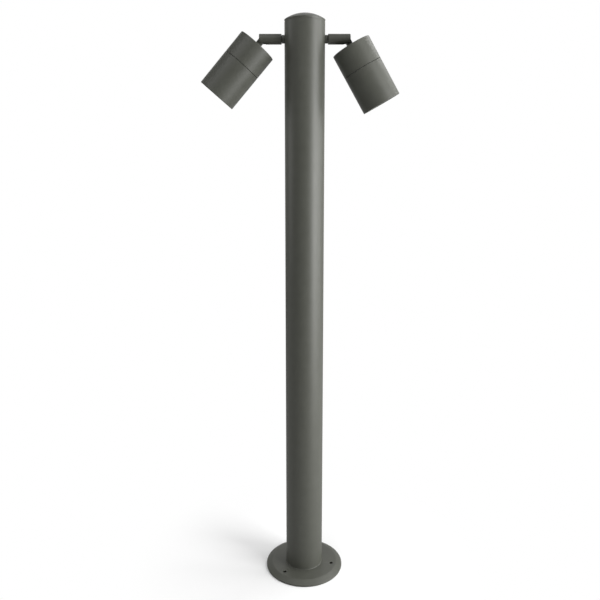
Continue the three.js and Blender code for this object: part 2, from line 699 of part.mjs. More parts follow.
/** Tongue with a round end, collar, and a threaded hollow shank through the back wall. */
function knuckle() {
  const outline = new THREE.Shape();
  outline.absarc(0, 0, TONGUE_RADIUS, 0, Math.PI);
  outline.lineTo(-TONGUE_RADIUS, -COLLAR_TOP - COLLAR_EDGE);
  outline.lineTo(TONGUE_RADIUS, -COLLAR_TOP - COLLAR_EDGE);
  const tongue = new THREE.ExtrudeGeometry(outline, {
    depth: TONGUE_THICKNESS,
    curveSegments: 12,
    bevelEnabled: false,
  })
    .rotateX(Math.PI / 2)
    .translate(0, TONGUE_THICKNESS / 2, 0);
  const collar = turned(
    [
      [0, -COLLAR_TOP],
      [COLLAR_RADIUS - COLLAR_EDGE, -COLLAR_TOP],
      [COLLAR_RADIUS, -COLLAR_TOP - COLLAR_EDGE],
      [COLLAR_RADIUS, atDepth(-SEAT_GAP)],
      [0, atDepth(-SEAT_GAP)],
    ],
    SMALL,
  );
  const shankEnd = BACK_WALL + KNUCKLE_NUT_THICKNESS + THREAD_PROUD;
  return cut(
    fuse(tongue, collar, headBar(KNUCKLE_SHANK_RADIUS, -COLLAR_THICKNESS / 2, shankEnd)),
    alongY(bar(PIVOT_SCREW_RADIUS + RUNNING_GAP, -TONGUE_THICKNESS, TONGUE_THICKNESS)),
    headBar(LAMP_LEAD_RADIUS + 2 * FIT_GAP, -2 * COLLAR_THICKNESS, shankEnd + OVERCUT),
  );
}

/** Rear cup of the head, with a grooved spigot that the front sleeve slides on. */
function rearHousing() {
  const bore = HEAD_RADIUS - REAR_WALL;
  const grooveFloor = HOUSING_SPIGOT_RADIUS - 2 * SEAL_RADIUS;
  const slope = bore - HOUSING_SPIGOT_BORE;
  const cup = headTurned([
    [KNUCKLE_SHANK_RADIUS + SEAT_GAP, 0],
    [HEAD_RADIUS - HEAD_EDGE, 0],
    [HEAD_RADIUS, HEAD_EDGE],
    [HEAD_RADIUS, REAR_LENGTH],
    [HOUSING_SPIGOT_RADIUS, REAR_LENGTH],
    [HOUSING_SPIGOT_RADIUS, HOUSING_SEAL_PLACE - SEAL_RADIUS],
    [grooveFloor, HOUSING_SEAL_PLACE - SEAL_RADIUS],
    [grooveFloor, HOUSING_SEAL_PLACE + SEAL_RADIUS],
    [HOUSING_SPIGOT_RADIUS, HOUSING_SEAL_PLACE + SEAL_RADIUS],
    [HOUSING_SPIGOT_RADIUS, HOUSING_SPIGOT_END],
    [HOUSING_SPIGOT_BORE, HOUSING_SPIGOT_END],
    [HOUSING_SPIGOT_BORE, REAR_LENGTH - 2],
    [bore, REAR_LENGTH - 2 - slope],
    [bore, BACK_WALL],
    [KNUCKLE_SHANK_RADIUS + SEAT_GAP, BACK_WALL],
  ]);
  const pilots = bracketScrewPlaces().map((x) =>
    headBar(SMALL_SCREW_RADIUS + FIT_GAP / 2, BACK_WALL - BRACKET_TAP_DEPTH, BACK_WALL + OVERCUT, TINY)
      .translate(x, 0, 0),
  );
  return cut(cup, ...pilots);
}

/** O-ring in the groove of the rear housing's spigot. */
function housingSeal() {
  return sealRing(HOUSING_SPIGOT_RADIUS, SLEEVE_BORE, atDepth(HOUSING_SEAL_PLACE), MEDIUM);
}

/** The two bracket screws' places across the head. */
const bracketScrewPlaces = () => [-1, 1].map((s) => s * (BRACKET_HALF_SPAN + BRACKET_FOOT / 2));

/** Hat-shaped strap that holds the lampholder off the back wall. */
function holderBracket() {
  const foot = BACK_WALL + SEAT_GAP;
  const outer = BRACKET_HALF_SPAN + BRACKET_FOOT;
  const half = BRACKET_HALF_SPAN;
  const t = BRACKET_THICKNESS;
  const rightHalf = [
    [outer, foot],
    [outer, foot + t],
    [half, foot + t],
    [half, BRACKET_TOP],
  ];
  const innerRight = [
    [half - t, BRACKET_TOP - t],
    [half - t, foot],
  ];
  const mirrored = (pairs) => pairs.map(([x, depth]) => [-x, depth]).reverse();
  const outline = new THREE.Shape(
    [...rightHalf, ...mirrored(rightHalf), ...mirrored(innerRight), ...innerRight]
      .map(([x, depth]) => new THREE.Vector2(x, atDepth(depth))),
  );
  const strap = new THREE.ExtrudeGeometry(outline, { depth: BRACKET_WIDTH, bevelEnabled: false })
    .rotateX(Math.PI / 2)
    .translate(0, BRACKET_WIDTH / 2, 0);
  const screwHoles = bracketScrewPlaces().map((x) =>
    headBar(SMALL_SCREW_RADIUS + FIT_GAP, foot - OVERCUT, foot + t + OVERCUT, TINY).translate(x, 0, 0),
  );
  const holeRadius = 1.5 * LAMP_LEAD_RADIUS;
  const leadHole = headBar(holeRadius, BRACKET_TOP - t - OVERCUT, BRACKET_TOP + OVERCUT);
  return cut(strap, ...screwHoles, leadHole);
}

/** One bracket screw, at its place across the head. */
function bracketScrew(x) {
  const seat = BACK_WALL + SEAT_GAP + BRACKET_THICKNESS + SEAT_GAP;
  const screw = panScrew(SMALL_SCREW_RADIUS, seat - BACK_WALL + BRACKET_SCREW_REACH, SMALL_HEAD);
  return screw.rotateX(Math.PI).translate(x, 0, atDepth(seat));
}

/** Ceramic holder with two pin sockets in front and the lead's hole behind. */
function lampholder() {
  const body = headTurned(
    [
      [0, HOLDER_BACK],
      [HOLDER_RADIUS - HOLDER_EDGE, HOLDER_BACK],
      [HOLDER_RADIUS, HOLDER_BACK + HOLDER_EDGE],
      [HOLDER_RADIUS, HOLDER_FRONT - HOLDER_EDGE],
      [HOLDER_RADIUS - HOLDER_EDGE, HOLDER_FRONT],
      [0, HOLDER_FRONT],
    ],
    SMALL,
  );
  const sockets = [-1, 1].map((s) =>
    headBar(PIN_RADIUS + FIT_GAP, HOLDER_FRONT - PIN_LENGTH - 2 * FIT_GAP, HOLDER_FRONT + OVERCUT)
      .translate((s * PIN_SPACING) / 2, 0, 0),
  );
  const leadEnd = HOLDER_BACK + LAMP_LEAD_ENTRY + FIT_GAP;
  return cut(body, ...sockets, headBar(LAMP_LEAD_RADIUS + FIT_GAP, HOLDER_BACK - OVERCUT, leadEnd));
}

/** Reflector lamp with two pins; its face is slightly recessed in its rim. */
function lamp() {
  const bowlSteps = 5;
  const bowlFrom = LAMP_BASE + LAMP_NECK_LENGTH;
  const bowlTo = LAMP_FRONT - LAMP_RIM_DEPTH;
  const neckRadius = LAMP_BASE_RADIUS + LAMP_BASE_EDGE;
  const swell = LAMP_RADIUS - LAMP_RIM_STEP - neckRadius;
  const bowl = Array.from({ length: bowlSteps + 1 }, (_, i) => {
    const t = i / bowlSteps;
    return [neckRadius + swell * Math.sin((Math.PI / 2) * t), bowlFrom + (bowlTo - bowlFrom) * t];
  });
  const body = headTurned(
    [
      [0, LAMP_BASE],
      [LAMP_BASE_RADIUS, LAMP_BASE],
      [neckRadius, LAMP_BASE + LAMP_BASE_EDGE],
      ...bowl,
      [LAMP_RADIUS, bowlTo],
      [LAMP_RADIUS, LAMP_FRONT],
      [LAMP_RADIUS - LAMP_RIM_WIDTH, LAMP_FRONT],
      [LAMP_RADIUS - LAMP_RIM_WIDTH, LAMP_FRONT - LAMP_FACE_RECESS],
      [0, LAMP_FRONT - LAMP_FACE_RECESS],
    ],
    HIDDEN,
  );
  const pins = [-1, 1].map((s) =>
    headBar(PIN_RADIUS, LAMP_BASE - PIN_LENGTH, LAMP_BASE + LAMP_BASE_EDGE, TINY)
      .translate((s * PIN_SPACING) / 2, 0, 0),
  );
  return fuse(body, ...pins);
}

/** Front tube of the head, with a lip at the mouth that the lens seats against. */
function frontSleeve() {
  const lipBore = HEAD_RADIUS - LIP_WIDTH;
  return headTurned([
    [SLEEVE_BORE, FRONT_START],
    [HEAD_RADIUS - HEAD_EDGE / 2, FRONT_START],
    [HEAD_RADIUS, FRONT_START + HEAD_EDGE / 2],
    [HEAD_RADIUS, HEAD_LENGTH - HEAD_EDGE],
    [HEAD_RADIUS - HEAD_EDGE, HEAD_LENGTH],
    [lipBore + HEAD_EDGE, HEAD_LENGTH],
    [lipBore, HEAD_LENGTH - HEAD_EDGE],
    [lipBore, LIP_BACK],
    [SLEEVE_BORE, LIP_BACK],
  ]);
}

/** Flat ring in the front sleeve's bore, between two depths. */
const boreRing = (width, from, to) => {
  const outer = SLEEVE_BORE - FIT_GAP / 2;
  return tube(outer, outer - width, atDepth(to), atDepth(from), MEDIUM);
};

// ---------------------------------------------------------------- Assembly

const bollard = new THREE.Group();

place(bollard, "base_flange", "paint", baseFlange());
place(bollard, "post_insert", "aluminium", postInsert());
ringOf(INSERT_SCREWS, INSERT_SCREW_CIRCLE, FIRST_INSERT_ANGLE).forEach(([x, y], i) => {
  place(bollard, `insert_screw_${i + 1}`, "steel", insertScrew()).position.set(x, y, 0);
});
place(bollard, "post_tube", "paint", postTube());
place(bollard, "cap", "paint", capShell());
place(bollard, "cap_seal", "rubber", capSeal());

place(bollard, "terminal_plate", "steel", terminalPlate());
const plateScrew = panScrew(SMALL_SCREW_RADIUS, PLATE_TAP_DEPTH - OVERCUT, SMALL_HEAD);
place(bollard, "plate_screw", "steel", plateScrew)
  .position.set(0, INSERT_SCREW_CIRCLE, PLATE_BOTTOM + PLATE_THICKNESS + SEAT_GAP);
place(bollard, "terminal_block", "nylon", terminalBlock());
BLOCK_SCREWS.forEach(([x, z], i) => {
  const screw = panScrew(SMALL_SCREW_RADIUS, BLOCK_DEPTH + PLATE_THICKNESS + SCREW_PROUD, SMALL_HEAD);
  const mesh = place(bollard, `block_screw_${i + 1}`, "steel", screw.rotateX(Math.PI / 2));
  mesh.position.set(x, BLOCK_BACK - BLOCK_DEPTH - SEAT_GAP, z);
});
const earthScrew = panScrew(SCREW_RADIUS, PLATE_THICKNESS + EARTH_SCREW_PROUD, SCREW_HEAD);
place(bollard, "earth_screw", "brass", earthScrew.rotateX(Math.PI / 2))
  .position.set(0, PLATE_FRONT - SEAT_GAP, EARTH_SCREW_Z);

for (const { name, sign, tilt } of SIDES) {
  place(bollard, `lead_${name}`, "cable", postLead(sign));

  const arm = new THREE.Group();
  arm.position.z = ARM_Z;
  arm.rotation.z = sign > 0 ? 0 : Math.PI;
  bollard.add(arm);
  const nutFrom = neckNutStart();
  place(arm, `neck_${name}`, "paint", neck());
  place(arm, `neck_washer_${name}`, "rubber", neckWasher());
  const neckNut = nut(NECK_NUT_RADIUS, SHANK_RADIUS + RUNNING_GAP, nutFrom, nutFrom + NECK_NUT_THICKNESS);
  place(arm, `neck_nut_${name}`, "steel", alongX(neckNut));
  place(arm, `arm_sleeve_${name}`, "paint", armSleeve(sign));
  place(arm, `grub_screw_${name}`, "steel", grubScrew(sign));
  place(arm, `pivot_screw_${name}`, "steel", pivotScrew(sign));

  const head = new THREE.Group();
  head.position.x = PIVOT_X;
  head.rotation.y = -tilt;
  arm.add(head);
  const nutDepth = BACK_WALL + SEAT_GAP;
  const knuckleNut = nut(
    KNUCKLE_NUT_RADIUS,
    KNUCKLE_SHANK_RADIUS + RUNNING_GAP,
    atDepth(nutDepth + KNUCKLE_NUT_THICKNESS),
    atDepth(nutDepth),
  );
  place(head, `knuckle_${name}`, "paint", knuckle());
  place(head, `knuckle_nut_${name}`, "steel", knuckleNut);
  place(head, `rear_housing_${name}`, "paint", rearHousing());
  place(head, `housing_seal_${name}`, "rubber", housingSeal());
  place(head, `holder_bracket_${name}`, "steel", holderBracket());
  bracketScrewPlaces().forEach((x, i) => {
    place(head, `bracket_screw_${name}_${i + 1}`, "steel", bracketScrew(x));
  });
  place(head, `lampholder_${name}`, "ceramic", lampholder());
  place(head, `lamp_${name}`, "lamp", lamp());
  const lampLead = headBar(LAMP_LEAD_RADIUS, -COLLAR_THICKNESS, HOLDER_BACK + LAMP_LEAD_ENTRY, TINY);
  place(head, `lamp_lead_${name}`, "cable", lampLead);
  place(head, `front_sleeve_${name}`, "paint", frontSleeve());
  const gasket = boreRing(GASKET_WIDTH, GASKET_BACK + SEAT_GAP, LIP_BACK - SEAT_GAP);
  place(head, `lens_gasket_${name}`, "silicone", gasket);
  const lens = headBar(SLEEVE_BORE - FIT_GAP, LENS_BACK + SEAT_GAP, GASKET_BACK, MEDIUM);
  place(head, `lens_glass_${name}`, "glass", lens);
  place(head, `lens_ring_${name}`, "steel", boreRing(RING_WIDTH, RING_BACK, LENS_BACK - SEAT_GAP));
}

export default bollard;
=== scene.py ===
"""Visible model of a bollard light with two adjustable spot heads, built round its CAD frame.

Metres throughout. +Z runs up the post, +X points to the right-hand head, and the camera stands on the
-Y side. Round pieces are outlines turned about an axis, worked out as whole numpy grids.
"""

import json
import logging
import math
from dataclasses import dataclass
from enum import Enum
from typing import Sequence

import bpy
import numpy as np
from mathutils import Matrix, Vector


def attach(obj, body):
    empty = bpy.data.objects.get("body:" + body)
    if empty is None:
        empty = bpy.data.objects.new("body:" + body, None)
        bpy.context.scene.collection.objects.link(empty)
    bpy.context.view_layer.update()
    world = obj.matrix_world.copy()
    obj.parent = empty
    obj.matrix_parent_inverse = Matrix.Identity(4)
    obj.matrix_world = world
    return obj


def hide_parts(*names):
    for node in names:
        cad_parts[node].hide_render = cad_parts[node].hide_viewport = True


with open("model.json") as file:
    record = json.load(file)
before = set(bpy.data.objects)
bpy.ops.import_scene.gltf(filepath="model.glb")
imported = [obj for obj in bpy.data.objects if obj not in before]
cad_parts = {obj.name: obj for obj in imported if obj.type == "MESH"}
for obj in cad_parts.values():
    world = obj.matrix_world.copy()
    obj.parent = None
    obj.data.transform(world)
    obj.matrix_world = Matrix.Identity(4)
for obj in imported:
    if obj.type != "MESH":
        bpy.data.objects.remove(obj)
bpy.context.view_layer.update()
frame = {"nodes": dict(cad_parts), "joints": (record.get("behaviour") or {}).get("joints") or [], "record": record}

LOG = logging.getLogger("bollard_light")
MM = 0.001
WELD = 1e-7
SHARP_ANGLE = math.radians(32)
FILLET_STEPS = 6
OVERCUT = 1 * MM
SEAT_GAP = 0.1 * MM
SEAL_STEPS = 16
BEND_STEPS = 33
DOME_STEPS = 40
BOWL_STEPS = 24
OPTIC_ROWS = 60
FLOOR_STEPS = 64
SENSOR_WIDTH = 36.0

Array = np.ndarray


class Fineness(Enum):
    """How many steps a round piece is turned in."""

    POST = 160
    HEAD = 144
    ARM = 80
    SCREW = 36


class Operation(Enum):
    """How a tool solid changes a piece."""

    CUT = "DIFFERENCE"
    JOIN = "UNION"


class Side(Enum):
    """The two arms, by the side of the post that they stand on."""

    LEFT = "left"
    RIGHT = "right"

    @property
    def sign(self) -> int:
        """Which way along X the arm points."""
        return 1 if self is Side.RIGHT else -1


# ---------------------------------------------------------------- Surfaces


@dataclass(frozen=True)
class Axis:
    """A line that shapes are turned about.

    Attributes:
        origin: Point at distance 0 along the line.
        along: Unit vector of the line.
        across: Unit vector square to it, at angle 0.
    """

    origin: Array
    along: Array
    across: Array

    @property
    def beside(self) -> Array:
        """Unit vector square to both of the others, at a quarter turn."""
        return np.cross(self.along, self.across)

    def points(self, radius: Array, angle: Array, distance: Array) -> Array:
        """Places points by origin + distance·along + radius·(cos·across + sin·beside).

        Args:
            radius: Distance of each point from the line.
            angle: Angle of each point about the line.
            distance: Distance of each point along the line.

        Returns:
            The points, with a last axis of three coordinates.
        """
        return (
            self.origin
            + distance[..., None] * self.along
            + (radius * np.cos(angle))[..., None] * self.across
            + (radius * np.sin(angle))[..., None] * self.beside
        )

    def moved(self, distance: float) -> "Axis":
        """The same line with its zero a distance further along it."""
        return Axis(self.origin + distance * self.along, self.along, self.across)

    def parallel(self, across: float, beside: float) -> "Axis":
        """A parallel line, shifted by two distances square to this one."""
        shift = across * self.across + beside * self.beside
        return Axis(self.origin + shift, self.along, self.across)


def node_points(node: str) -> Array:
    """Every corner of a CAD node, as an array of points."""
    vertices = frame["nodes"][node].data.vertices
    points = np.empty(3 * len(vertices))
    vertices.foreach_get("co", points)
    return points.reshape(-1, 3)


def span(node: str, axis: Axis) -> tuple[float, float]:
    """Where a CAD node starts and ends along an axis."""
    distances = (node_points(node) - axis.origin) @ axis.along
    return float(distances.min()), float(distances.max())


def reach(node: str, axis: Axis) -> float:
    """How far a CAD node reaches from an axis."""
    offset = node_points(node) - axis.origin
    offset = offset - np.outer(offset @ axis.along, axis.along)
    return float(np.linalg.norm(offset, axis=1).max())


@dataclass(frozen=True)
class Shell:
    """One closed surface: its points, and four corners for each face."""

    points: Array
    quads: Array

    def outward(self) -> "Shell":
        """The same surface with its faces turned outward.

        The volume is the sum of a·(b×c)/6 over the triangles of all faces, and is negative inside out.
        """
        a, b, c, d = (self.points[self.quads[:, k]] for k in range(4))
        middle = self.points.mean(axis=0)
        a, b, c, d = a - middle, b - middle, c - middle, d - middle
        volume = np.einsum("ij,ij->", a, np.cross(b, c)) + np.einsum("ij,ij->", a, np.cross(c, d))
        return self if volume > 0 else Shell(self.points, self.quads[:, ::-1])

    def faces(self) -> list[list[int]]:
        """Quads, and triangles where two corners of a quad are one point."""
        same = self.quads == np.roll(self.quads, -1, axis=1)
        lost = same.sum(axis=1)
        threes = self.quads[lost == 1][~same[lost == 1]].reshape(-1, 3)
        return self.quads[lost == 0].tolist() + threes.tolist()


def woven(grid: Array, closed: bool) -> Shell:
    """Joins a grid of points whose rows close on themselves.

    Face (i, j) has the corners (i, j), (i, j+1), (i+1, j+1) and (i+1, j). Points that coincide, as at
    a pole, become one.

    Args:
        grid: Points by row and column.
        closed: Whether the last row joins the first.

    Returns:
        The surface, facing outward.
    """
    rows, columns = grid.shape[:2]
    index = np.arange(rows * columns).reshape(rows, columns)
    if closed:
        index = np.vstack([index, index[:1]])
    index = np.hstack([index, index[:, :1]])
    corners = (index[:-1, :-1], index[:-1, 1:], index[1:, 1:], index[1:, :-1])
    quads = np.stack(corners, axis=-1).reshape(-1, 4)
    flat = grid.reshape(-1, 3)
    keys = np.round(flat / WELD).astype(np.int64)
    _, first, inverse = np.unique(keys, axis=0, return_index=True, return_inverse=True)
    return Shell(flat[first], inverse.reshape(-1)[quads]).outward()


# A corner of an outline: radius, distance along the axis and, where it is softened, its fillet.
Corner = Sequence[float]


def full_turn(steps: int) -> Array:
    """Angles evenly spaced round a whole turn."""
    return np.linspace(0, 2 * math.pi, steps, endpoint=False)


def swept(line: Array, steps: int) -> tuple[Array, Array, Array]:
    """Radius, angle and distance of an outline's points at each step of a turn, a row for each point."""
    radius, angle = np.meshgrid(line[:, 0], full_turn(steps), indexing="ij")
    return radius, angle, np.broadcast_to(line[:, 1:2], radius.shape)


def groove(radius: float, low: float, high: float, depth: float, edge: float) -> list[Corner]:
    """The four corners of a groove round a rod, from low to high, each with the same fillet."""
    floor = radius - depth
    return [(radius, low, edge), (floor, low, edge), (floor, high, edge), (radius, high, edge)]


def fillet_points(before: Array, corner: Array, after: Array, radius: float) -> Array:
    """Points of the arc that softens one corner.

    The arc touches each side radius / tan(half the corner's angle) from the corner. Its centre lies on
    the bisector, radius / sin(half) away, and its points turn evenly from one touching point to the
    other. A guard point on each side keeps the straight stretch beyond it flat in shading.

    Args:
        before: The corner before this one.
        corner: This corner.
        after: The corner after this one.
        radius: The fillet's radius, which gives way where a side is short.

    Returns:
        The points, in order.
    """
    back, ahead = before - corner, after - corner
    room = min(np.linalg.norm(back), np.linalg.norm(ahead))
    back, ahead = back / np.linalg.norm(back), ahead / np.linalg.norm(ahead)
    half = math.acos(float(np.clip(back @ ahead, -1, 1))) / 2
    touch = min(radius / math.tan(half), 0.48 * room)
    radius = touch * math.tan(half)
    bisector = (back + ahead) / np.linalg.norm(back + ahead)
    centre = corner + bisector * radius / math.sin(half)
    first, last = corner + back * touch - centre, corner + ahead * touch - centre
    sweep = math.pi - 2 * half
    share = np.linspace(0, 1, FILLET_STEPS + 1)[:, None]
    arc = (np.sin((1 - share) * sweep) * first + np.sin(share * sweep) * last) / math.sin(sweep)
    guard = min(touch, 0.49 * room - touch)
    if guard <= 0.01 * touch:
        return centre + arc
    return np.vstack([corner + back * (touch + guard), centre + arc, corner + ahead * (touch + guard)])


def outline(corners: Sequence[Corner], closed: bool) -> Array:
    """An outline's [radius, along] points with its corners softened.

    Args:
        corners: The corners in order.
        closed: Whether the last corner joins the first; if not, both lie on the axis.

    Returns:
        The points, one a row.
    """
    places = np.array([corner[:2] for corner in corners])
    count = len(corners)
    rows = []
    for i, corner in enumerate(corners):
        inner = closed or 0 < i < count - 1
        if len(corner) > 2 and inner:
            rows.append(fillet_points(places[i - 1], places[i], places[(i + 1) % count], corner[2]))
        else:
            rows.append(places[i : i + 1])
    return np.vstack(rows)


def turned(axis: Axis, line: Array, closed: bool, fineness: Fineness) -> Shell:
    """Turns an outline about an axis: row i, column j is outline point i at angle 2πj / steps.

    Args:
        axis: The line to turn about.
        line: The outline's [radius, along] points.
        closed: Whether the outline closes on itself, as a ring's does.
        fineness: How many steps to turn in.

    Returns:
        The surface.
    """
    radius, angle, along = swept(line, fineness.value)
    return woven(axis.points(radius, angle, along), closed)


def ring(axis: Axis, corners: Sequence[Corner], fineness: Fineness) -> Shell:
    """A hollow turned piece, from an outline that closes on itself."""
    return turned(axis, outline(corners, closed=True), True, fineness)


def solid(axis: Axis, corners: Sequence[Corner], fineness: Fineness) -> Shell:
    """A turned piece without a hole, from an outline that starts and ends on the axis."""
    return turned(axis, outline(corners, closed=False), False, fineness)


def rod(axis: Axis, radius: float, low: float, high: float, fineness: Fineness) -> Shell:
    """A plain round rod between two distances along an axis, as a drill for holes."""
    corners = [(0, low), (radius, low), (radius, high), (0, high)]
    return solid(axis, corners, fineness)


def block(axis: Axis, low: Array, high: Array) -> Shell:
    """A box from its lowest to its highest corner, both given across, beside and along an axis."""
    x0, y0, z0 = low
    x1, y1, z1 = high
    loop = np.array([(x0, y0), (x1, y0), (x1, y1), (x0, y1)])
    levels = ((0.0, z0), (1.0, z0), (1.0, z1), (0.0, z1))
    middle = loop.mean(axis=0)
    grid = np.array([np.column_stack([middle + s * (loop - middle), np.full(4, z)]) for s, z in levels])
    points = axis.origin + grid @ np.array([axis.across, axis.beside, axis.along])
    return woven(points, closed=False)


def hex_share(angle: Array) -> Array:
    """Radius of a hexagon, as a share of its corner radius: cos 30° / cos(angle to the flat's middle)."""
    sixth = math.pi / 3
    return math.cos(sixth / 2) / np.cos(np.mod(angle, sixth) - sixth / 2)


def hex_blend(axis: Axis, line: Array, hexness: Array, closed: bool, fineness: Fineness) -> Shell:
    """Turns an outline whose rows pass from round to hexagonal.

    A point's radius is its row's radius times (1 - hexness) + hexness · the hexagon's share there.

    Args:
        axis: The line to turn about.
        line: The outline's [radius, along] points.
        hexness: For each row, 0 for round and 1 for hexagonal.
        closed: Whether the outline closes on itself.
        fineness: How many steps to turn in.

    Returns:
        The surface.
    """
    radius, angle, along = swept(line, fineness.value)
    shape = 1 + hexness[:, None] * (hex_share(angle) - 1)
    return woven(axis.points(radius * shape, angle, along), closed)


# ---------------------------------------------------------------- Pieces


def mesh_from(name: str, shells: Sequence[Shell]) -> bpy.types.Mesh:
    """One mesh from several closed surfaces, each with a material slot of its own number.

    Args:
        name: The mesh's name.
        shells: The surfaces.

    Returns:
        The mesh, smooth except along its sharp edges.
    """
    points, faces, slots, offset = [], [], [], 0
    for number, shell in enumerate(shells):
        own = [[corner + offset for corner in face] for face in shell.faces()]
        points.append(shell.points)
        faces.extend(own)
        slots.extend([number] * len(own))
        offset += len(shell.points)
    mesh = bpy.data.meshes.new(name)
    mesh.from_pydata(np.vstack(points).tolist(), [], faces)
    mesh.polygons.foreach_set("material_index", slots)
    smooth(mesh)
    return mesh


def smooth(mesh: bpy.types.Mesh) -> None:
    """Shades a mesh smooth, apart from edges that turn by more than the sharp angle."""
    mesh.polygons.foreach_set("use_smooth", [True] * len(mesh.polygons))
    mesh.set_sharp_from_angle(angle=SHARP_ANGLE)
    mesh.update()


def worked(piece: bpy.types.Object, tools: Sequence[Shell], operation: Operation) -> None:
    """Cuts tool solids out of a piece, or joins them to it.

    Args:
        piece: The piece whose mesh is replaced.
        tools: Closed surfaces of the tools, applied one by one.
        operation: Whether to cut or to join.
    """
    for tool in tools:
        cutter = bpy.data.objects.new("tool", mesh_from("tool", [tool]))
        bpy.context.scene.collection.objects.link(cutter)
        step = piece.modifiers.new("work", "BOOLEAN")
        step.operation = operation.value
        step.solver = "EXACT"
        step.object = cutter
        depsgraph = bpy.context.evaluated_depsgraph_get()
        result = bpy.data.meshes.new_from_object(piece.evaluated_get(depsgraph))
        piece.modifiers.remove(step)
        spare, piece.data = piece.data, result
        bpy.data.meshes.remove(spare)
        bpy.data.meshes.remove(cutter.data)
    smooth(piece.data)
    piece.data.name = piece.name


@dataclass(frozen=True)
class Part:
    """What a finished piece is called and what it stands for.

    Attributes:
        name: The piece's name.
        body: The CAD body that it moves with.
        node: The CAD node that it replaces.
        slot: The record's material slot; not used.
    """

    name: str
    body: str
    node: str
    slot: str

    def make(self, shells: Sequence[Shell], finishes: Sequence["Finish"]) -> bpy.types.Object:
        """Makes the piece's object and ties it to the frame.

        Args:
            shells: The closed surfaces of its mesh.
            finishes: A finish for each surface, or one for all of them.

        Returns:
            The new object.
        """
        mesh = mesh_from(self.name, shells)
        if len(finishes) == 1:
            mesh.polygons.foreach_set("material_index", [0] * len(mesh.polygons))
        for finish in finishes:
            mesh.materials.append(finish.material())
        piece = bpy.data.objects.new(self.name, mesh)
        bpy.context.scene.collection.objects.link(piece)
        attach(piece, self.body)
        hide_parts(self.node)
        return piece


def report(piece: bpy.types.Object) -> None:
    """Logs a finished piece's name and how many faces it has."""
    LOG.info("%s: %d faces", piece.name, len(piece.data.polygons))


# ---------------------------------------------------------------- Finishes

Colour = tuple[float, float, float]


class Graph:
    """A material's node tree, with short calls for the nodes that the finishes share."""

    def __init__(self, name: str) -> None:
        """Starts a material that holds one Principled shader."""
        self.result = bpy.data.materials.new(name)
        self.result.use_nodes = True
        self.tree = self.result.node_tree
        self.shader = self.tree.nodes["Principled BSDF"]
        self.place = self.tree.nodes.new("ShaderNodeTexCoord").outputs["Object"]

    def link(self, source: bpy.types.NodeSocket, target: bpy.types.NodeSocket) -> None:
        """Joins an output to an input."""
        self.tree.links.new(source, target)

    def stretched(self, stretch: Colour) -> bpy.types.NodeSocket:
        """Object coordinates scaled along each axis, for a grain that runs one way."""
        if stretch == (1.0, 1.0, 1.0):
            return self.place
        mapping = self.tree.nodes.new("ShaderNodeMapping")
        mapping.inputs["Scale"].default_value = stretch
        self.link(self.place, mapping.inputs["Vector"])
        return mapping.outputs["Vector"]

    def noise(self, size: float, detail: float, stretch: Colour = (1.0, 1.0, 1.0)) -> bpy.types.NodeSocket:
        """Soft noise.

        Args:
            size: Distance across one patch.
            detail: How many finer layers it has.
            stretch: Scale along each axis.

        Returns:
            The noise's value, about 0.5.
        """
        node = self.tree.nodes.new("ShaderNodeTexNoise")
        node.inputs["Scale"].default_value = 1 / size
        node.inputs["Detail"].default_value = detail
        self.link(self.stretched(stretch), node.inputs["Vector"])
        return node.outputs["Fac"]

    def cells(self, size: float) -> bpy.types.NodeSocket:
        """Distance to the nearest of scattered points, size apart: the pits and specks of a surface."""
        node = self.tree.nodes.new("ShaderNodeTexVoronoi")
        node.inputs["Scale"].default_value = 1 / size
        self.link(self.place, node.inputs["Vector"])
        return node.outputs["Distance"]

    def ranged(self, source: bpy.types.NodeSocket, low: float, high: float) -> bpy.types.NodeSocket:
        """A noise's middle half spread over the range from low to high."""
        node = self.tree.nodes.new("ShaderNodeMapRange")
        for name, value in (("From Min", 0.25), ("From Max", 0.75), ("To Min", low), ("To Max", high)):
            node.inputs[name].default_value = value
        self.link(source, node.inputs["Value"])
        return node.outputs["Result"]

    def colours(self, source: bpy.types.NodeSocket, dark: Colour, light: Colour) -> None:
        """Colours the shader between two colours by a noise."""
        ramp = self.tree.nodes.new("ShaderNodeValToRGB")
        for stop, place, colour in zip(ramp.color_ramp.elements, (0.3, 0.7), (dark, light)):
            stop.position = place
            stop.color = (*colour, 1.0)
        self.link(source, ramp.inputs["Fac"])
        self.link(ramp.outputs["Color"], self.shader.inputs["Base Color"])

    def bumps(self, layers: Sequence[tuple[bpy.types.NodeSocket, float]]) -> None:
        """Raises the surface by layers of noise, each with its height in metres."""
        normal = None
        for source, height in layers:
            bump = self.tree.nodes.new("ShaderNodeBump")
            bump.inputs["Distance"].default_value = height
            self.link(source, bump.inputs["Height"])
            if normal is not None:
                self.link(normal, bump.inputs["Normal"])
            normal = bump.outputs["Normal"]
        self.link(normal, self.shader.inputs["Normal"])


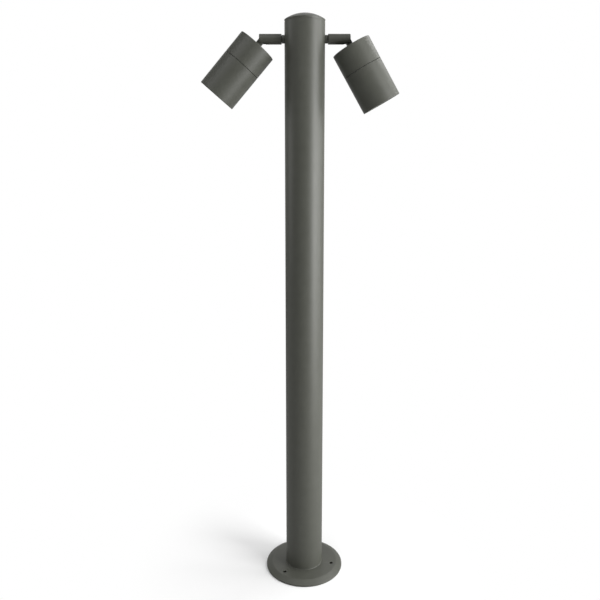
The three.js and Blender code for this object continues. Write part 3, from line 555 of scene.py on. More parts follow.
@dataclass(frozen=True)
class Finish:
    """What every finish has: a name, its colour in patches, and how rough it is.

    Attributes:
        name: The finish, in a maker's words.
        colour: Colour of most of the surface.
        patch_colour: Colour of the patches in it.
        patch: Distance across a patch.
        roughness: Least and greatest roughness.
        metallic: 1 for bare metal.
    """

    name: str
    colour: Colour
    patch_colour: Colour
    patch: float
    roughness: tuple[float, float]
    metallic: float = 0.0

    def material(self) -> bpy.types.Material:
        """The finish's material, made when it is first asked for."""
        ready = bpy.data.materials.get(self.name)
        if ready is not None:
            return ready
        graph = Graph(self.name)
        graph.shader.inputs["Metallic"].default_value = self.metallic
        patches = graph.noise(self.patch, 3.0)
        graph.colours(patches, self.patch_colour, self.colour)
        graph.link(graph.ranged(patches, *self.roughness), graph.shader.inputs["Roughness"])
        self.texture(graph)
        return graph.result

    def texture(self, graph: Graph) -> None:
        """Adds what is special to the finish; plain ones have a faint unevenness."""
        graph.bumps([(graph.noise(2 * MM, 2.0), 0.01 * MM)])


@dataclass(frozen=True)
class PowderCoat(Finish):
    """Matt powder coat: a soft orange peel with a fine grain in it.

    Attributes:
        peel: Distance across a swell of the orange peel.
        peel_height: How high the swells stand.
        grain: Distance across a grain.
        grain_height: How high the grains stand.
        specular: Strength of the reflection at right angles.
    """

    peel: float = 1.6 * MM
    peel_height: float = 0.007 * MM
    grain: float = 0.35 * MM
    grain_height: float = 0.004 * MM
    specular: float = 0.5

    def texture(self, graph: Graph) -> None:
        """Adds the peel and the grain."""
        graph.shader.inputs["Specular IOR Level"].default_value = self.specular
        peel = graph.noise(self.peel, 1.0)
        grain = graph.noise(self.grain, 2.0)
        graph.bumps([(peel, self.peel_height), (grain, self.grain_height)])


@dataclass(frozen=True)
class BrushedMetal(Finish):
    """Bare or plated metal with a fine grain that runs one way.

    Attributes:
        line: Distance across a brush line.
        stretch: Scale along each axis; small along the way that the lines run.
        depth: How deep the lines are.
    """

    line: float = 0.25 * MM
    stretch: Colour = (1.0, 1.0, 0.08)
    depth: float = 0.004 * MM

    def texture(self, graph: Graph) -> None:
        """Adds the lines."""
        graph.bumps([(graph.noise(self.line, 2.0, self.stretch), self.depth)])


@dataclass(frozen=True)
class Speckled(Finish):
    """Ceramic or moulded stuff with small pits.

    Attributes:
        pit: Distance between pits.
        depth: How deep the pits are.
        soft: Share of light that scatters under the surface.
    """

    pit: float = 0.7 * MM
    depth: float = 0.01 * MM
    soft: float = 0.0

    def texture(self, graph: Graph) -> None:
        """Adds the pits."""
        graph.shader.inputs["Subsurface Weight"].default_value = self.soft
        graph.shader.inputs["Subsurface Scale"].default_value = 1 * MM
        graph.bumps([(graph.cells(self.pit), self.depth), (graph.noise(self.pit / 2, 2.0), self.depth / 2)])


@dataclass(frozen=True)
class Clear(Finish):
    """Glass or clear plastic.

    Attributes:
        transmission: Share of light that passes through.
        refraction: Index of refraction.
    """

    transmission: float = 1.0
    refraction: float = 1.5

    def texture(self, graph: Graph) -> None:
        """Makes it clear, with a faint waviness."""
        graph.shader.inputs["Transmission Weight"].default_value = self.transmission
        graph.shader.inputs["IOR"].default_value = self.refraction
        graph.bumps([(graph.noise(8 * MM, 1.0), 0.004 * MM)])


PAINT = PowderCoat(
    "matt_olive_grey_powder_coat", (0.073, 0.0755, 0.0625), (0.067, 0.069, 0.057), 14 * MM, (0.44, 0.51)
)
ALUMINIUM = BrushedMetal(
    "machined_aluminium", (0.66, 0.67, 0.68), (0.58, 0.59, 0.60), 6 * MM, (0.28, 0.40), 1.0
)
STEEL = BrushedMetal(
    "zinc_plated_steel", (0.60, 0.61, 0.62), (0.52, 0.52, 0.50), 4 * MM, (0.24, 0.38), 1.0
)
BRASS = BrushedMetal("plain_brass", (0.72, 0.53, 0.22), (0.60, 0.42, 0.16), 3 * MM, (0.25, 0.38), 1.0)
RUBBER = Speckled("black_rubber", (0.022, 0.022, 0.022), (0.015, 0.015, 0.015), 2 * MM, (0.70, 0.85))
SILICONE = Speckled(
    "white_silicone", (0.70, 0.70, 0.67), (0.62, 0.62, 0.59), 3 * MM, (0.50, 0.65), soft=0.3
)
CABLE = Speckled(
    "silicone_insulation", (0.030, 0.030, 0.031), (0.022, 0.022, 0.023), 3 * MM, (0.45, 0.60), pit=0.4 * MM
)
NYLON = Speckled("natural_nylon", (0.76, 0.74, 0.67), (0.68, 0.66, 0.58), 5 * MM, (0.38, 0.52), soft=0.2)
CERAMIC = Speckled("unglazed_ceramic", (0.82, 0.79, 0.71), (0.74, 0.70, 0.61), 3 * MM, (0.50, 0.65))
LAMP_WHITE = Speckled("white_lamp_body", (0.78, 0.78, 0.76), (0.72, 0.72, 0.69), 6 * MM, (0.30, 0.40))
GLASS = Clear("toughened_glass", (0.93, 0.97, 0.95), (0.90, 0.95, 0.93), 20 * MM, (0.01, 0.04))
OPTIC = Clear(
    "frosted_lamp_optic", (0.90, 0.90, 0.86), (0.84, 0.84, 0.80), 3 * MM, (0.10, 0.22), transmission=0.35
)

SLOT_FINISHES: dict[str, Finish] = {
    "paint": PAINT,
    "aluminium": ALUMINIUM,
    "steel": STEEL,
    "brass": BRASS,
    "rubber": RUBBER,
    "silicone": SILICONE,
    "cable": CABLE,
    "nylon": NYLON,
    "ceramic": CERAMIC,
    "lamp": LAMP_WHITE,
    "glass": GLASS,
}


def dress_nodes() -> None:
    """Gives every CAD node the finish of its slot in the record."""
    for subpart in frame["record"]["subparts"]:
        mesh = frame["nodes"][subpart["node"]].data
        finish = SLOT_FINISHES[subpart["material_slot"]]
        if not mesh.materials:
            mesh.materials.append(None)
        for number in range(len(mesh.materials)):
            mesh.materials[number] = finish.material()


# ---------------------------------------------------------------- Base, post and cap

UP = Axis(np.zeros(3), np.array([0.0, 0.0, 1.0]), np.array([1.0, 0.0, 0.0]))
ARM_HEIGHT = frame["joints"][0]["pos_m"][2]


def around(count: int, radius: float, first: float) -> list[Axis]:
    """Upright axes of features evenly spaced on a circle.

    Args:
        count: How many there are.
        radius: The circle's radius.
        first: Angle of the first one.

    Returns:
        An axis for each.
    """
    angles = first + 2 * math.pi * np.arange(count) / count
    return [UP.parallel(radius * math.cos(a), radius * math.sin(a)) for a in angles]


@dataclass(frozen=True)
class Base:
    """The chamfered round plate that the post stands on.

    Attributes:
        rim: Height of the upright edge.
        chamfer: Radial width of the sloping edge.
        foot_edge: Fillet where the rim meets the ground.
        rim_edge: Fillet between the rim and the slope.
        top_edge: Fillet between the slope and the flat top.
        fixing_holes: How many bolts hold it down.
        fixing_radius: Radius of their holes.
        fixing_inset: From the flat top's edge in to a hole's centre.
        first_fixing: Angle of the first hole.
        hole_edge: Fillet round the mouth of a fixing hole.
        hole_skin: Depth at which a fixing hole starts to widen.
        hole_relief: Radius of the cone under it, at the ground.
        inlet_radius: Radius of the two cable inlets.
        inlet_offset: Distance of each inlet from the middle.
        screw_circle: Radius of the circle of screws that hold the post.
        screw_hole: Radius of their holes.
        screw_sink: Radius of their countersinks.
        sink_rim: Depth of the straight rim of a countersink.
        foot_screws: How many screws hold the post.
        first_screw: Angle of the first screw.
    """

    rim: float = 2.6 * MM
    chamfer: float = 9 * MM
    foot_edge: float = 0.4 * MM
    rim_edge: float = 1.0 * MM
    top_edge: float = 6 * MM
    fixing_holes: int = 3
    fixing_radius: float = 2.75 * MM
    fixing_inset: float = 7.7 * MM
    first_fixing: float = math.radians(-13.3)
    hole_edge: float = 0.3 * MM
    hole_skin: float = 0.8 * MM
    hole_relief: float = 8.5 * MM
    inlet_radius: float = 7 * MM
    inlet_offset: float = 11 * MM
    screw_circle: float = 23.25 * MM
    screw_hole: float = 2.2 * MM
    screw_sink: float = 4.1 * MM
    sink_rim: float = 0.3 * MM
    foot_screws: int = 3
    first_screw: float = math.radians(30)

    def mouthed_hole(self, axis: Axis, top: float) -> Shell:
        """A drill that flares by a quarter circle at the plate's top, and as a cone towards the ground."""
        turn = np.linspace(0, math.pi / 2, FILLET_STEPS + 1)
        radius = self.fixing_radius + self.hole_edge * (1 - np.cos(turn))
        along = top - self.hole_edge * (1 - np.sin(turn))
        cone = [(0, -OVERCUT), (self.hole_relief, -OVERCUT), (self.hole_relief, 0)]
        cone += [(self.fixing_radius, top - self.hole_skin)]
        mouth = [(self.fixing_radius + self.hole_edge, top + OVERCUT), (0, top + OVERCUT)]
        line = np.vstack([cone, np.column_stack([radius, along]), mouth])
        return turned(axis, line, False, Fineness.SCREW)

    def countersink(self, axis: Axis, top: float) -> Shell:
        """A drill with a cone below, for a countersunk screw."""
        sink = self.screw_sink - self.screw_hole
        corners = [
            (0, -OVERCUT), (self.screw_sink, -OVERCUT), (self.screw_sink, self.sink_rim),
            (self.screw_hole, self.sink_rim + sink), (self.screw_hole, top + OVERCUT), (0, top + OVERCUT),
        ]
        return solid(axis, corners, Fineness.SCREW)

    def build(self) -> bpy.types.Object:
        """Makes the plate, with its holes."""
        radius = reach("base_flange", UP)
        top = span("base_flange", UP)[1]
        flat = radius - self.chamfer
        corners = [
            (0, 0), (radius, 0, self.foot_edge), (radius, self.rim, self.rim_edge),
            (flat, top, self.top_edge), (0, top),
        ]
        plate = Part("base_plate", "post", "base_flange", "paint").make(
            [solid(UP, corners, Fineness.POST)], [PAINT]
        )
        fixings = around(self.fixing_holes, flat - self.fixing_inset, self.first_fixing)
        screws = around(self.foot_screws, self.screw_circle, self.first_screw)
        inlets = [UP.parallel(x, 0) for x in (-self.inlet_offset, self.inlet_offset)]
        drills = [self.mouthed_hole(axis, top) for axis in fixings]
        drills += [self.countersink(axis, top) for axis in screws]
        drills += [rod(a, self.inlet_radius, -OVERCUT, top + OVERCUT, Fineness.ARM) for a in inlets]
        worked(plate, drills, Operation.CUT)
        return plate


@dataclass(frozen=True)
class Post:
    """The round tube and its domed cap.

    Attributes:
        wall: The tube's wall.
        bead: Width of the weld bead round its foot.
        edge: Fillet of the tube's top edges.
        arm_hole: Radius of the hole for an arm's shank.
        cap_rim: Height of the cap's rim.
        cap_taper: How far the rim draws in below the dome's edge.
        cap_edge: Fillet of the dome's edge.
        cap_wall: The cap's wall.
        spigot_gap: Radial gap between the cap's spigot and the tube.
        seal: Radius of the O-ring's section.
    """

    wall: float = 2.5 * MM
    bead: float = 0.8 * MM
    edge: float = 0.4 * MM
    arm_hole: float = 5.1 * MM
    cap_rim: float = 2.7 * MM
    cap_taper: float = 0.8 * MM
    cap_edge: float = 0.35 * MM
    cap_wall: float = 2.4 * MM
    spigot_gap: float = 0.3 * MM
    seal: float = 0.8 * MM

    @property
    def radius(self) -> float:
        """Outer radius of the tube."""
        return reach("post_tube", UP)

    @property
    def bore(self) -> float:
        """Inner radius of the tube."""
        return self.radius - self.wall

    def tube(self) -> bpy.types.Object:
        """Makes the tube, with a weld bead at its foot and a hole for each arm."""
        low, high = span("post_tube", UP)
        reach_out = self.radius + self.wall
        corners = [
            (self.bore, low, self.edge), (self.radius + self.bead, low, self.edge / 2),
            (self.radius, low + self.bead, self.bead), (self.radius, ARM_HEIGHT - 2 * self.arm_hole),
            (self.radius, ARM_HEIGHT + 2 * self.arm_hole), (self.radius, high, self.edge),
            (self.bore, high, self.edge), (self.bore, ARM_HEIGHT + 2 * self.arm_hole),
            (self.bore, ARM_HEIGHT - 2 * self.arm_hole),
        ]
        tube = Part("post", "post", "post_tube", "paint").make(
            [ring(UP, corners, Fineness.POST)], [PAINT]
        )
        through = arm_axis(Side.RIGHT)
        worked(tube, [rod(through, self.arm_hole, -reach_out, reach_out, Fineness.ARM)], Operation.CUT)
        return tube

    def cap(self) -> bpy.types.Object:
        """Makes the cap.

        Its dome is an arc whose radius is (rim² + rise²) / 2·rise. The rim below draws in towards the
        tube, and the hollow spigot has a groove for the O-ring.
        """
        low, high = span("cap", UP)
        rim = reach("cap", UP)
        seat = span("post_tube", UP)[1] + SEAT_GAP
        edge = seat + self.cap_rim
        rise = high - edge
        curve = (rim**2 + rise**2) / (2 * rise)
        angle = np.linspace(math.asin(rim / curve), 0, DOME_STEPS)[1:]
        dome = np.column_stack([curve * np.sin(angle), high - curve + curve * np.cos(angle)])
        spigot = self.bore - self.spigot_gap
        inside = spigot - self.cap_wall
        middle = (low + seat) / 2
        corners = [
            (0, edge - self.cap_wall / 2), (inside, edge - self.cap_wall / 2, 1 * MM),
            (inside, low, 0.3 * MM), (spigot, low, 0.3 * MM),
            *groove(spigot, middle - self.seal, middle + self.seal, 2 * self.seal, 0.1 * MM),
            (spigot, seat, 0.2 * MM), (rim - self.cap_taper, seat, 0.15 * MM),
            (rim, edge, self.cap_edge), dome[0],
        ]
        line = np.vstack([outline(corners, closed=False), dome[1:]])
        return Part("domed_cap", "post", "cap", "paint").make(
            [turned(UP, line, False, Fineness.POST)], [PAINT]
        )

    def cap_seal(self) -> bpy.types.Object:
        """Makes the cap's O-ring."""
        return o_ring(Part("cap_o_ring", "post", "cap_seal", "rubber"), UP, "cap_seal", Fineness.POST)


def o_ring(part: Part, axis: Axis, node: str, fineness: Fineness) -> bpy.types.Object:
    """Makes an O-ring as a circle turned about an axis, of the size of its CAD node.

    The node's section is a hexagon, whose half height is cos 30° of its corner radius.

    Args:
        part: What the ring is called.
        axis: The line that it lies round.
        node: The CAD node that gives its place.
        fineness: How many steps to turn in.

    Returns:
        The new object.
    """
    low, high = span(node, axis)
    hexagon_share = math.cos(math.pi / 6)
    section = (high - low) / 2 / hexagon_share
    middle = reach(node, axis) - section
    turn = full_turn(SEAL_STEPS)
    line = np.column_stack([middle + section * np.cos(turn), (low + high) / 2 + section * np.sin(turn)])
    return part.make([turned(axis, line, True, fineness)], [RUBBER])


# ---------------------------------------------------------------- Arms


def joint(name: str) -> dict:
    """A joint's entry in the record."""
    return next(entry for entry in frame["joints"] if entry["name"] == name)


def arm_axis(side: Side) -> Axis:
    """The line of an arm, from the post's middle outward; angle 0 is to the rear."""
    origin = np.array([0.0, 0.0, ARM_HEIGHT])
    return Axis(origin, np.array([float(side.sign), 0.0, 0.0]), np.array([0.0, 1.0, 0.0]))


def socket_screw(
    part: Part, axis: Axis, head: tuple[float, float], shank: float, length: float
) -> bpy.types.Object:
    """Makes a pan-head screw with a hexagonal socket.

    Rows run from the socket's floor up its six flats, over the round head and down the shank. Each
    is a radius, a height, and 1 where the row is hexagonal.

    Args:
        part: What the screw is called.
        axis: The screw's line, with its zero under the head and pointing out of the head.
        head: Radius and height of the head.
        shank: Radius of the shank.
        length: Length under the head.

    Returns:
        The new object.
    """
    radius, height = head
    socket = 0.5 * radius
    point = 0.3 * shank
    rows = np.array(
        [
            (0, 0.45 * height, 1),
            (socket, 0.45 * height, 1),
            (socket, 0.95 * height, 1),
            (1.06 * socket, height, 1),
            (0.72 * radius, height, 0),
            (0.88 * radius, 0.88 * height, 0),
            (0.97 * radius, 0.68 * height, 0),
            (radius, 0.45 * height, 0),
            (radius, 0.08 * height, 0),
            (0.97 * radius, 0, 0),
            (shank, 0, 0),
            (shank, point - length, 0),
            (shank - point, -length, 0),
            (0, -length, 0),
        ]
    )
    return part.make([hex_blend(axis, rows[:, :2], rows[:, 2], False, Fineness.SCREW)], [STEEL])


@dataclass(frozen=True)
class Arm:
    """One arm: the fixed neck in the post and the sleeve that swivels on it.

    Attributes:
        side: Which arm it is.
        post_radius: Radius of the post that the neck stands on.
        neck: Radius of the neck where it shows.
        neck_show: Length of it that shows.
        neck_edge: Fillet of the neck's edges.
        shank: Radius of the shank through the post's wall.
        spigot: Radius of the spigot in the sleeve.
        bore: Radius of the cable way.
        groove: Width and depth of the grub screw's groove.
        groove_place: Distance of the groove's middle from the shoulder.
        sleeve_bore: Radius of the sleeve's bore.
        sleeve_edge: Fillet of the sleeve's ends.
        slot_width: Half the width of the slot for the tongue.
        slot_roof: Height of the slot's roof above the arm's line.
        slot_length: From the sleeve's end to the slot's end.
        pin_hole: Radius of the pivot screw's hole.
        pin_recess: Radius of the recess for its head.
        pin_seat: Distance of the recess's floor behind the arm's line.
        cheek_floor: Metal left in front of the pivot screw's tip.
        pin_gap: Radial gap round the pivot screw.
        grub_hole: Radius of the grub screw's tapped hole.
        grub_socket: Depth of the grub screw's socket.
        grub_chamfer: Chamfer of the grub screw's ends.
    """

    side: Side
    post_radius: float
    neck: float = 6 * MM
    neck_show: float = 4 * MM
    neck_edge: float = 0.35 * MM
    shank: float = 5 * MM
    spigot: float = 4.6 * MM
    bore: float = 3 * MM
    groove: tuple[float, float] = (4 * MM, 0.7 * MM)
    groove_place: float = 9.6 * MM
    sleeve_bore: float = 4.68 * MM
    sleeve_edge: float = 0.7 * MM
    slot_width: float = 4.0 * MM
    slot_roof: float = 4.7 * MM
    slot_length: float = 9.9 * MM
    pin_hole: float = 2.08 * MM
    pin_recess: float = 3.6 * MM
    pin_seat: float = 5.1 * MM
    cheek_floor: float = 1.2 * MM
    pin_gap: float = 0.08 * MM
    grub_hole: float = 1.6 * MM
    grub_socket: float = 1.2 * MM
    grub_chamfer: float = 0.2 * MM

    @property
    def axis(self) -> Axis:
        """The arm's line."""
        return arm_axis(self.side)

    @property
    def pivot(self) -> float:
        """Distance of the head's pivot along the arm."""
        return abs(joint(f"head_tilt_{self.side.value}")["pos_m"][0])

    @property
    def grub(self) -> float:
        """Distance of the grub screw along the arm."""
        return self.post_radius + self.neck_show + self.groove_place

    def part(self, name: str, body: str, slot: str) -> Part:
        """What one piece of this arm is called."""
        name = f"{name}_{self.side.value}"
        return Part(f"{name}_fine", body, name, slot)

    def neck_piece(self) -> bpy.types.Object:
        """Makes the hollow neck.

        It is turned about the arm's line, and the rows of its collar slide along by √(R² - y²) - R, less
        and less towards the shoulder, so that its back face fits the post's round side.
        """
        start, end = span(f"neck_{self.side.value}", self.axis)
        back = self.post_radius + SEAT_GAP
        shoulder = back + self.neck_show - SEAT_GAP
        width, depth = self.groove
        first = shoulder + self.groove_place - width / 2
        corners = [
            (self.bore, start, 0.3 * MM), (self.shank, start, 0.4 * MM), (self.shank, back, 0.1 * MM),
            (self.neck, back, 0.2 * MM), (self.neck, shoulder, self.neck_edge),
            (self.spigot, shoulder, 0.2 * MM),
            *groove(self.spigot, first, first + width, depth, 0.15 * MM), (self.spigot, end, 0.4 * MM),
            (self.bore, end, 0.3 * MM),
        ]
        line = outline(corners, closed=True)
        radius, angle, along = swept(line, Fineness.ARM.value)
        share = np.clip((shoulder - along) / (shoulder - back), 0, 1)
        near_post = np.where(along < back - 1 * MM, 0, share)
        slide = np.sqrt(back**2 - (radius * np.cos(angle)) ** 2) - back
        shell = woven(self.axis.points(radius, angle, along + near_post * slide), closed=True)
        return self.part("neck", "post", "paint").make([shell], [PAINT])

    def sleeve(self) -> bpy.types.Object:
        """Makes the sleeve: a tube with a slot for the tongue, and holes for its two screws."""
        name = f"arm_sleeve_{self.side.value}"
        start, end = span(name, self.axis)
        radius = reach(name, self.axis)
        spigot_end = span(f"neck_{self.side.value}", self.axis)[1] + 0.3 * MM
        corners = [
            (self.sleeve_bore, start, 0.2 * MM), (radius, start, self.sleeve_edge),
            (radius, end, self.sleeve_edge), (self.bore, end, 0.1 * MM),
            (self.bore, spigot_end, 0.2 * MM), (self.sleeve_bore, spigot_end, 0.2 * MM),
        ]
        sleeve = self.part("arm_sleeve", f"arm_{self.side.value}", "paint").make(
            [ring(self.axis, corners, Fineness.ARM)], [PAINT]
        )
        level = self.axis.beside[2]
        heights = sorted((level * self.slot_roof, -level * (radius + OVERCUT)))
        slot = block(
            self.axis,
            np.array([-self.slot_width, heights[0], end - self.slot_length]),
            np.array([self.slot_width, heights[1], end + OVERCUT]),
        )
        rear = self.rear(self.pivot)
        tools = [
            slot,
            rod(rear, self.pin_hole, self.cheek_floor - radius, radius + OVERCUT, Fineness.SCREW),
            rod(rear, self.pin_recess, self.pin_seat, radius + OVERCUT, Fineness.SCREW),
            rod(self.rear(self.grub), self.grub_hole, 0, radius + OVERCUT, Fineness.SCREW),
        ]
        worked(sleeve, tools, Operation.CUT)
        return sleeve

    def rear(self, distance: float) -> Axis:
        """A line to the rear, square to the arm at a distance along it."""
        origin = self.axis.origin + distance * self.axis.along
        return Axis(origin, np.array([0.0, 1.0, 0.0]), np.array([1.0, 0.0, 0.0]))

    def screws(self) -> list[bpy.types.Object]:
        """Makes the pivot screw and the grub screw."""
        body = f"arm_{self.side.value}"
        pin_axis = self.rear(self.pivot)
        low, high = span(f"pivot_screw_{self.side.value}", pin_axis)
        seat = self.pin_seat + SEAT_GAP
        head = (reach(f"pivot_screw_{self.side.value}", pin_axis), high - seat)
        shank = self.pin_hole - self.pin_gap
        pin = socket_screw(
            self.part("pivot_screw", body, "steel"), pin_axis.moved(seat), head, shank, seat - low
        )
        grub_axis = self.rear(self.grub)
        low, high = span(f"grub_screw_{self.side.value}", grub_axis)
        radius = reach(f"grub_screw_{self.side.value}", grub_axis)
        rows = np.array(
            [
                (0, high - self.grub_socket, 1),
                (radius / 2, high - self.grub_socket, 1),
                (radius / 2, high, 1),
                (0.85 * radius, high, 0),
                (radius, high - self.grub_chamfer, 0),
                (radius, low + self.grub_chamfer, 0),
                (0.8 * radius, low, 0),
                (0, low, 0),
            ]
        )
        shell = hex_blend(grub_axis, rows[:, :2], rows[:, 2], False, Fineness.SCREW)
        grub = self.part("grub_screw", body, "steel").make([shell], [STEEL])
        return [pin, grub]

    def build(self) -> list[bpy.types.Object]:
        """Makes all pieces of the arm that show."""
        return [self.neck_piece(), self.sleeve(), *self.screws()]


# ---------------------------------------------------------------- Heads


@dataclass(frozen=True)
class Lamp:
    """The reflector lamp: a ribbed body, two pins, and an optic of small lenses.

    Attributes:
        axis: The head's line.
        low: Distance of the pins' tips along it.
        high: Distance of the front edge.
        radius: Radius of the rim.
        steps: How many steps the body and the optic are turned in.
        pin_length: From the pins' tips to the body's back.
        pin_offset: Distance of each pin from the line.
        pin: Radius of a pin's tip and of its shank.
        pin_tip: Height of the tip, and where the shank starts.
        pin_root: How far the pins run into the body.
        neck: Radius of the body's back.
        neck_length: Length of the straight back.
        bowl_step: Step from the bowl's edge out to the rim.
        rim: Height and wall of the rim.
        recess: Depth of the face behind the front edge.
        ribs: How many ribs there are round the bowl.
        rib_depth: How deep the valleys between them are.
        rib_start: From the body's back to where the ribs start.
        rib_fade: Lengths over which they fade in at the back and out at the rim.
        lens_pitch: Distance between the optic's small lenses.
        lens_height: How high they stand.
        optic_gap: From the rim's wall in to the optic's edge.
        optic_skin: How far the optic stands before the face, and how far it reaches behind it.
    """

    axis: Axis
    low: float
    high: float
    radius: float
    steps: int = 216
    pin_length: float = 7 * MM
    pin_offset: float = 5 * MM
    pin: tuple[float, float] = (2.3 * MM, 1.6 * MM)
    pin_tip: tuple[float, float] = (2 * MM, 2.6 * MM)
    pin_root: float = 0.5 * MM
    neck: float = 11 * MM
    neck_length: float = 12 * MM
    bowl_step: float = 0.6 * MM
    rim: tuple[float, float] = (5 * MM, 1.6 * MM)
    recess: float = 0.8 * MM
    ribs: int = 36
    rib_depth: float = 0.35 * MM
    rib_start: float = 9 * MM
    rib_fade: tuple[float, float] = (5 * MM, 3 * MM)
    lens_pitch: float = 6 * MM
    lens_height: float = 0.6 * MM
    optic_gap: float = 0.2 * MM
    optic_skin: tuple[float, float] = (0.1 * MM, 0.3 * MM)

    @property
    def back(self) -> float:
        """Distance of the body's back along the line."""
        return self.low + self.pin_length

    @property
    def face(self) -> float:
        """Distance of the face along the line."""
        return self.high - self.recess

    def body(self) -> Shell:
        """The ribbed bowl.

        Its radius grows from the neck's by a quarter of a sine. The ribs are waves round it, which fade
        in past the neck and out towards the rim.
        """
        height, wall = self.rim
        rim = self.high - height
        share = np.linspace(0, 1, BOWL_STEPS)
        edge = self.radius - self.bowl_step
        swell = self.neck + (edge - self.neck) * np.sin(share * math.pi / 2)
        first = self.back + self.neck_length
        bowl = np.column_stack([swell, first + (rim - self.back - self.neck_length) * share])
        inside = self.radius - wall
        start = outline([(0, self.back), (self.neck, self.back, 0.8 * MM), bowl[0]], closed=False)
        front = [bowl[-1], (self.radius, rim, 0.4 * MM), (self.radius, self.high, 0.4 * MM)]
        front += [(inside, self.high, 0.3 * MM), (inside, self.face), (0, self.face)]
        line = np.vstack([start[:-1], bowl[:-1], outline(front, closed=False)])
        radius, angle, along = swept(line, self.steps)
        fade_in, fade_out = self.rib_fade
        fade = np.clip((along - self.back - self.rib_start) / fade_in, 0, 1)
        fade = fade * np.clip((rim - along) / fade_out, 0, 1)
        ribbed = radius - self.rib_depth * fade * (0.5 + 0.5 * np.cos(self.ribs * angle))
        return woven(self.axis.points(ribbed, angle, along), closed=False)

    def pins(self) -> list[Shell]:
        """The two pins, each with a thick tip on a thinner shank."""
        (tip, shank), (tip_end, shank_start) = self.pin, self.pin_tip
        root = self.back + self.pin_root
        corners = [
            (0, self.low), (tip, self.low, 0.4 * MM), (tip, self.low + tip_end, 0.2 * MM),
            (shank, self.low + shank_start, 0.2 * MM), (shank, root), (0, root),
        ]
        lines = [self.axis.parallel(0, side * self.pin_offset) for side in (-1, 1)]
        return [solid(line, corners, Fineness.SCREW) for line in lines]

    def optic(self) -> Shell:
        """The front optic, a thin closed disc.

        Its height is a skin over the face + lens height · (1 - 3 · (distance to the nearest grid point /
        pitch)²), where that is above the skin, with grid points in a triangular pattern.
        """
        pitch = self.lens_pitch
        radius = self.radius - self.rim[1] - self.optic_gap
        before, behind = self.optic_skin
        rows = np.linspace(0, 1, OPTIC_ROWS)[:, None] * radius
        turn = full_turn(self.steps)
        x, y = rows * np.cos(turn), rows * np.sin(turn)
        line = np.round(y / (pitch * math.sqrt(0.75)))
        best = np.full(x.shape, np.inf)
        for step in (-1, 0, 1):
            row = line + step
            shift = 0.5 * pitch * np.mod(row, 2)
            column = np.round((x - shift) / pitch)
            away = np.hypot(x - shift - column * pitch, y - row * pitch * math.sqrt(0.75))
            best = np.minimum(best, away)
        height = self.face + before + self.lens_height * np.clip(1 - 3 * (best / pitch) ** 2, 0, 1)
        height[-1] = self.face + before
        distance = np.vstack([height, np.full((2, self.steps), self.face - behind)])
        edge = np.full((1, self.steps), radius)
        radii = np.vstack([np.broadcast_to(rows, x.shape), edge, np.zeros((1, self.steps))])
        angle = np.broadcast_to(turn, radii.shape)
        return woven(self.axis.points(radii, angle, distance), closed=False)

    def shells(self) -> list[Shell]:
        """All of the lamp's surfaces: body, optic and pins."""
        return [self.body(), self.optic(), *self.pins()]


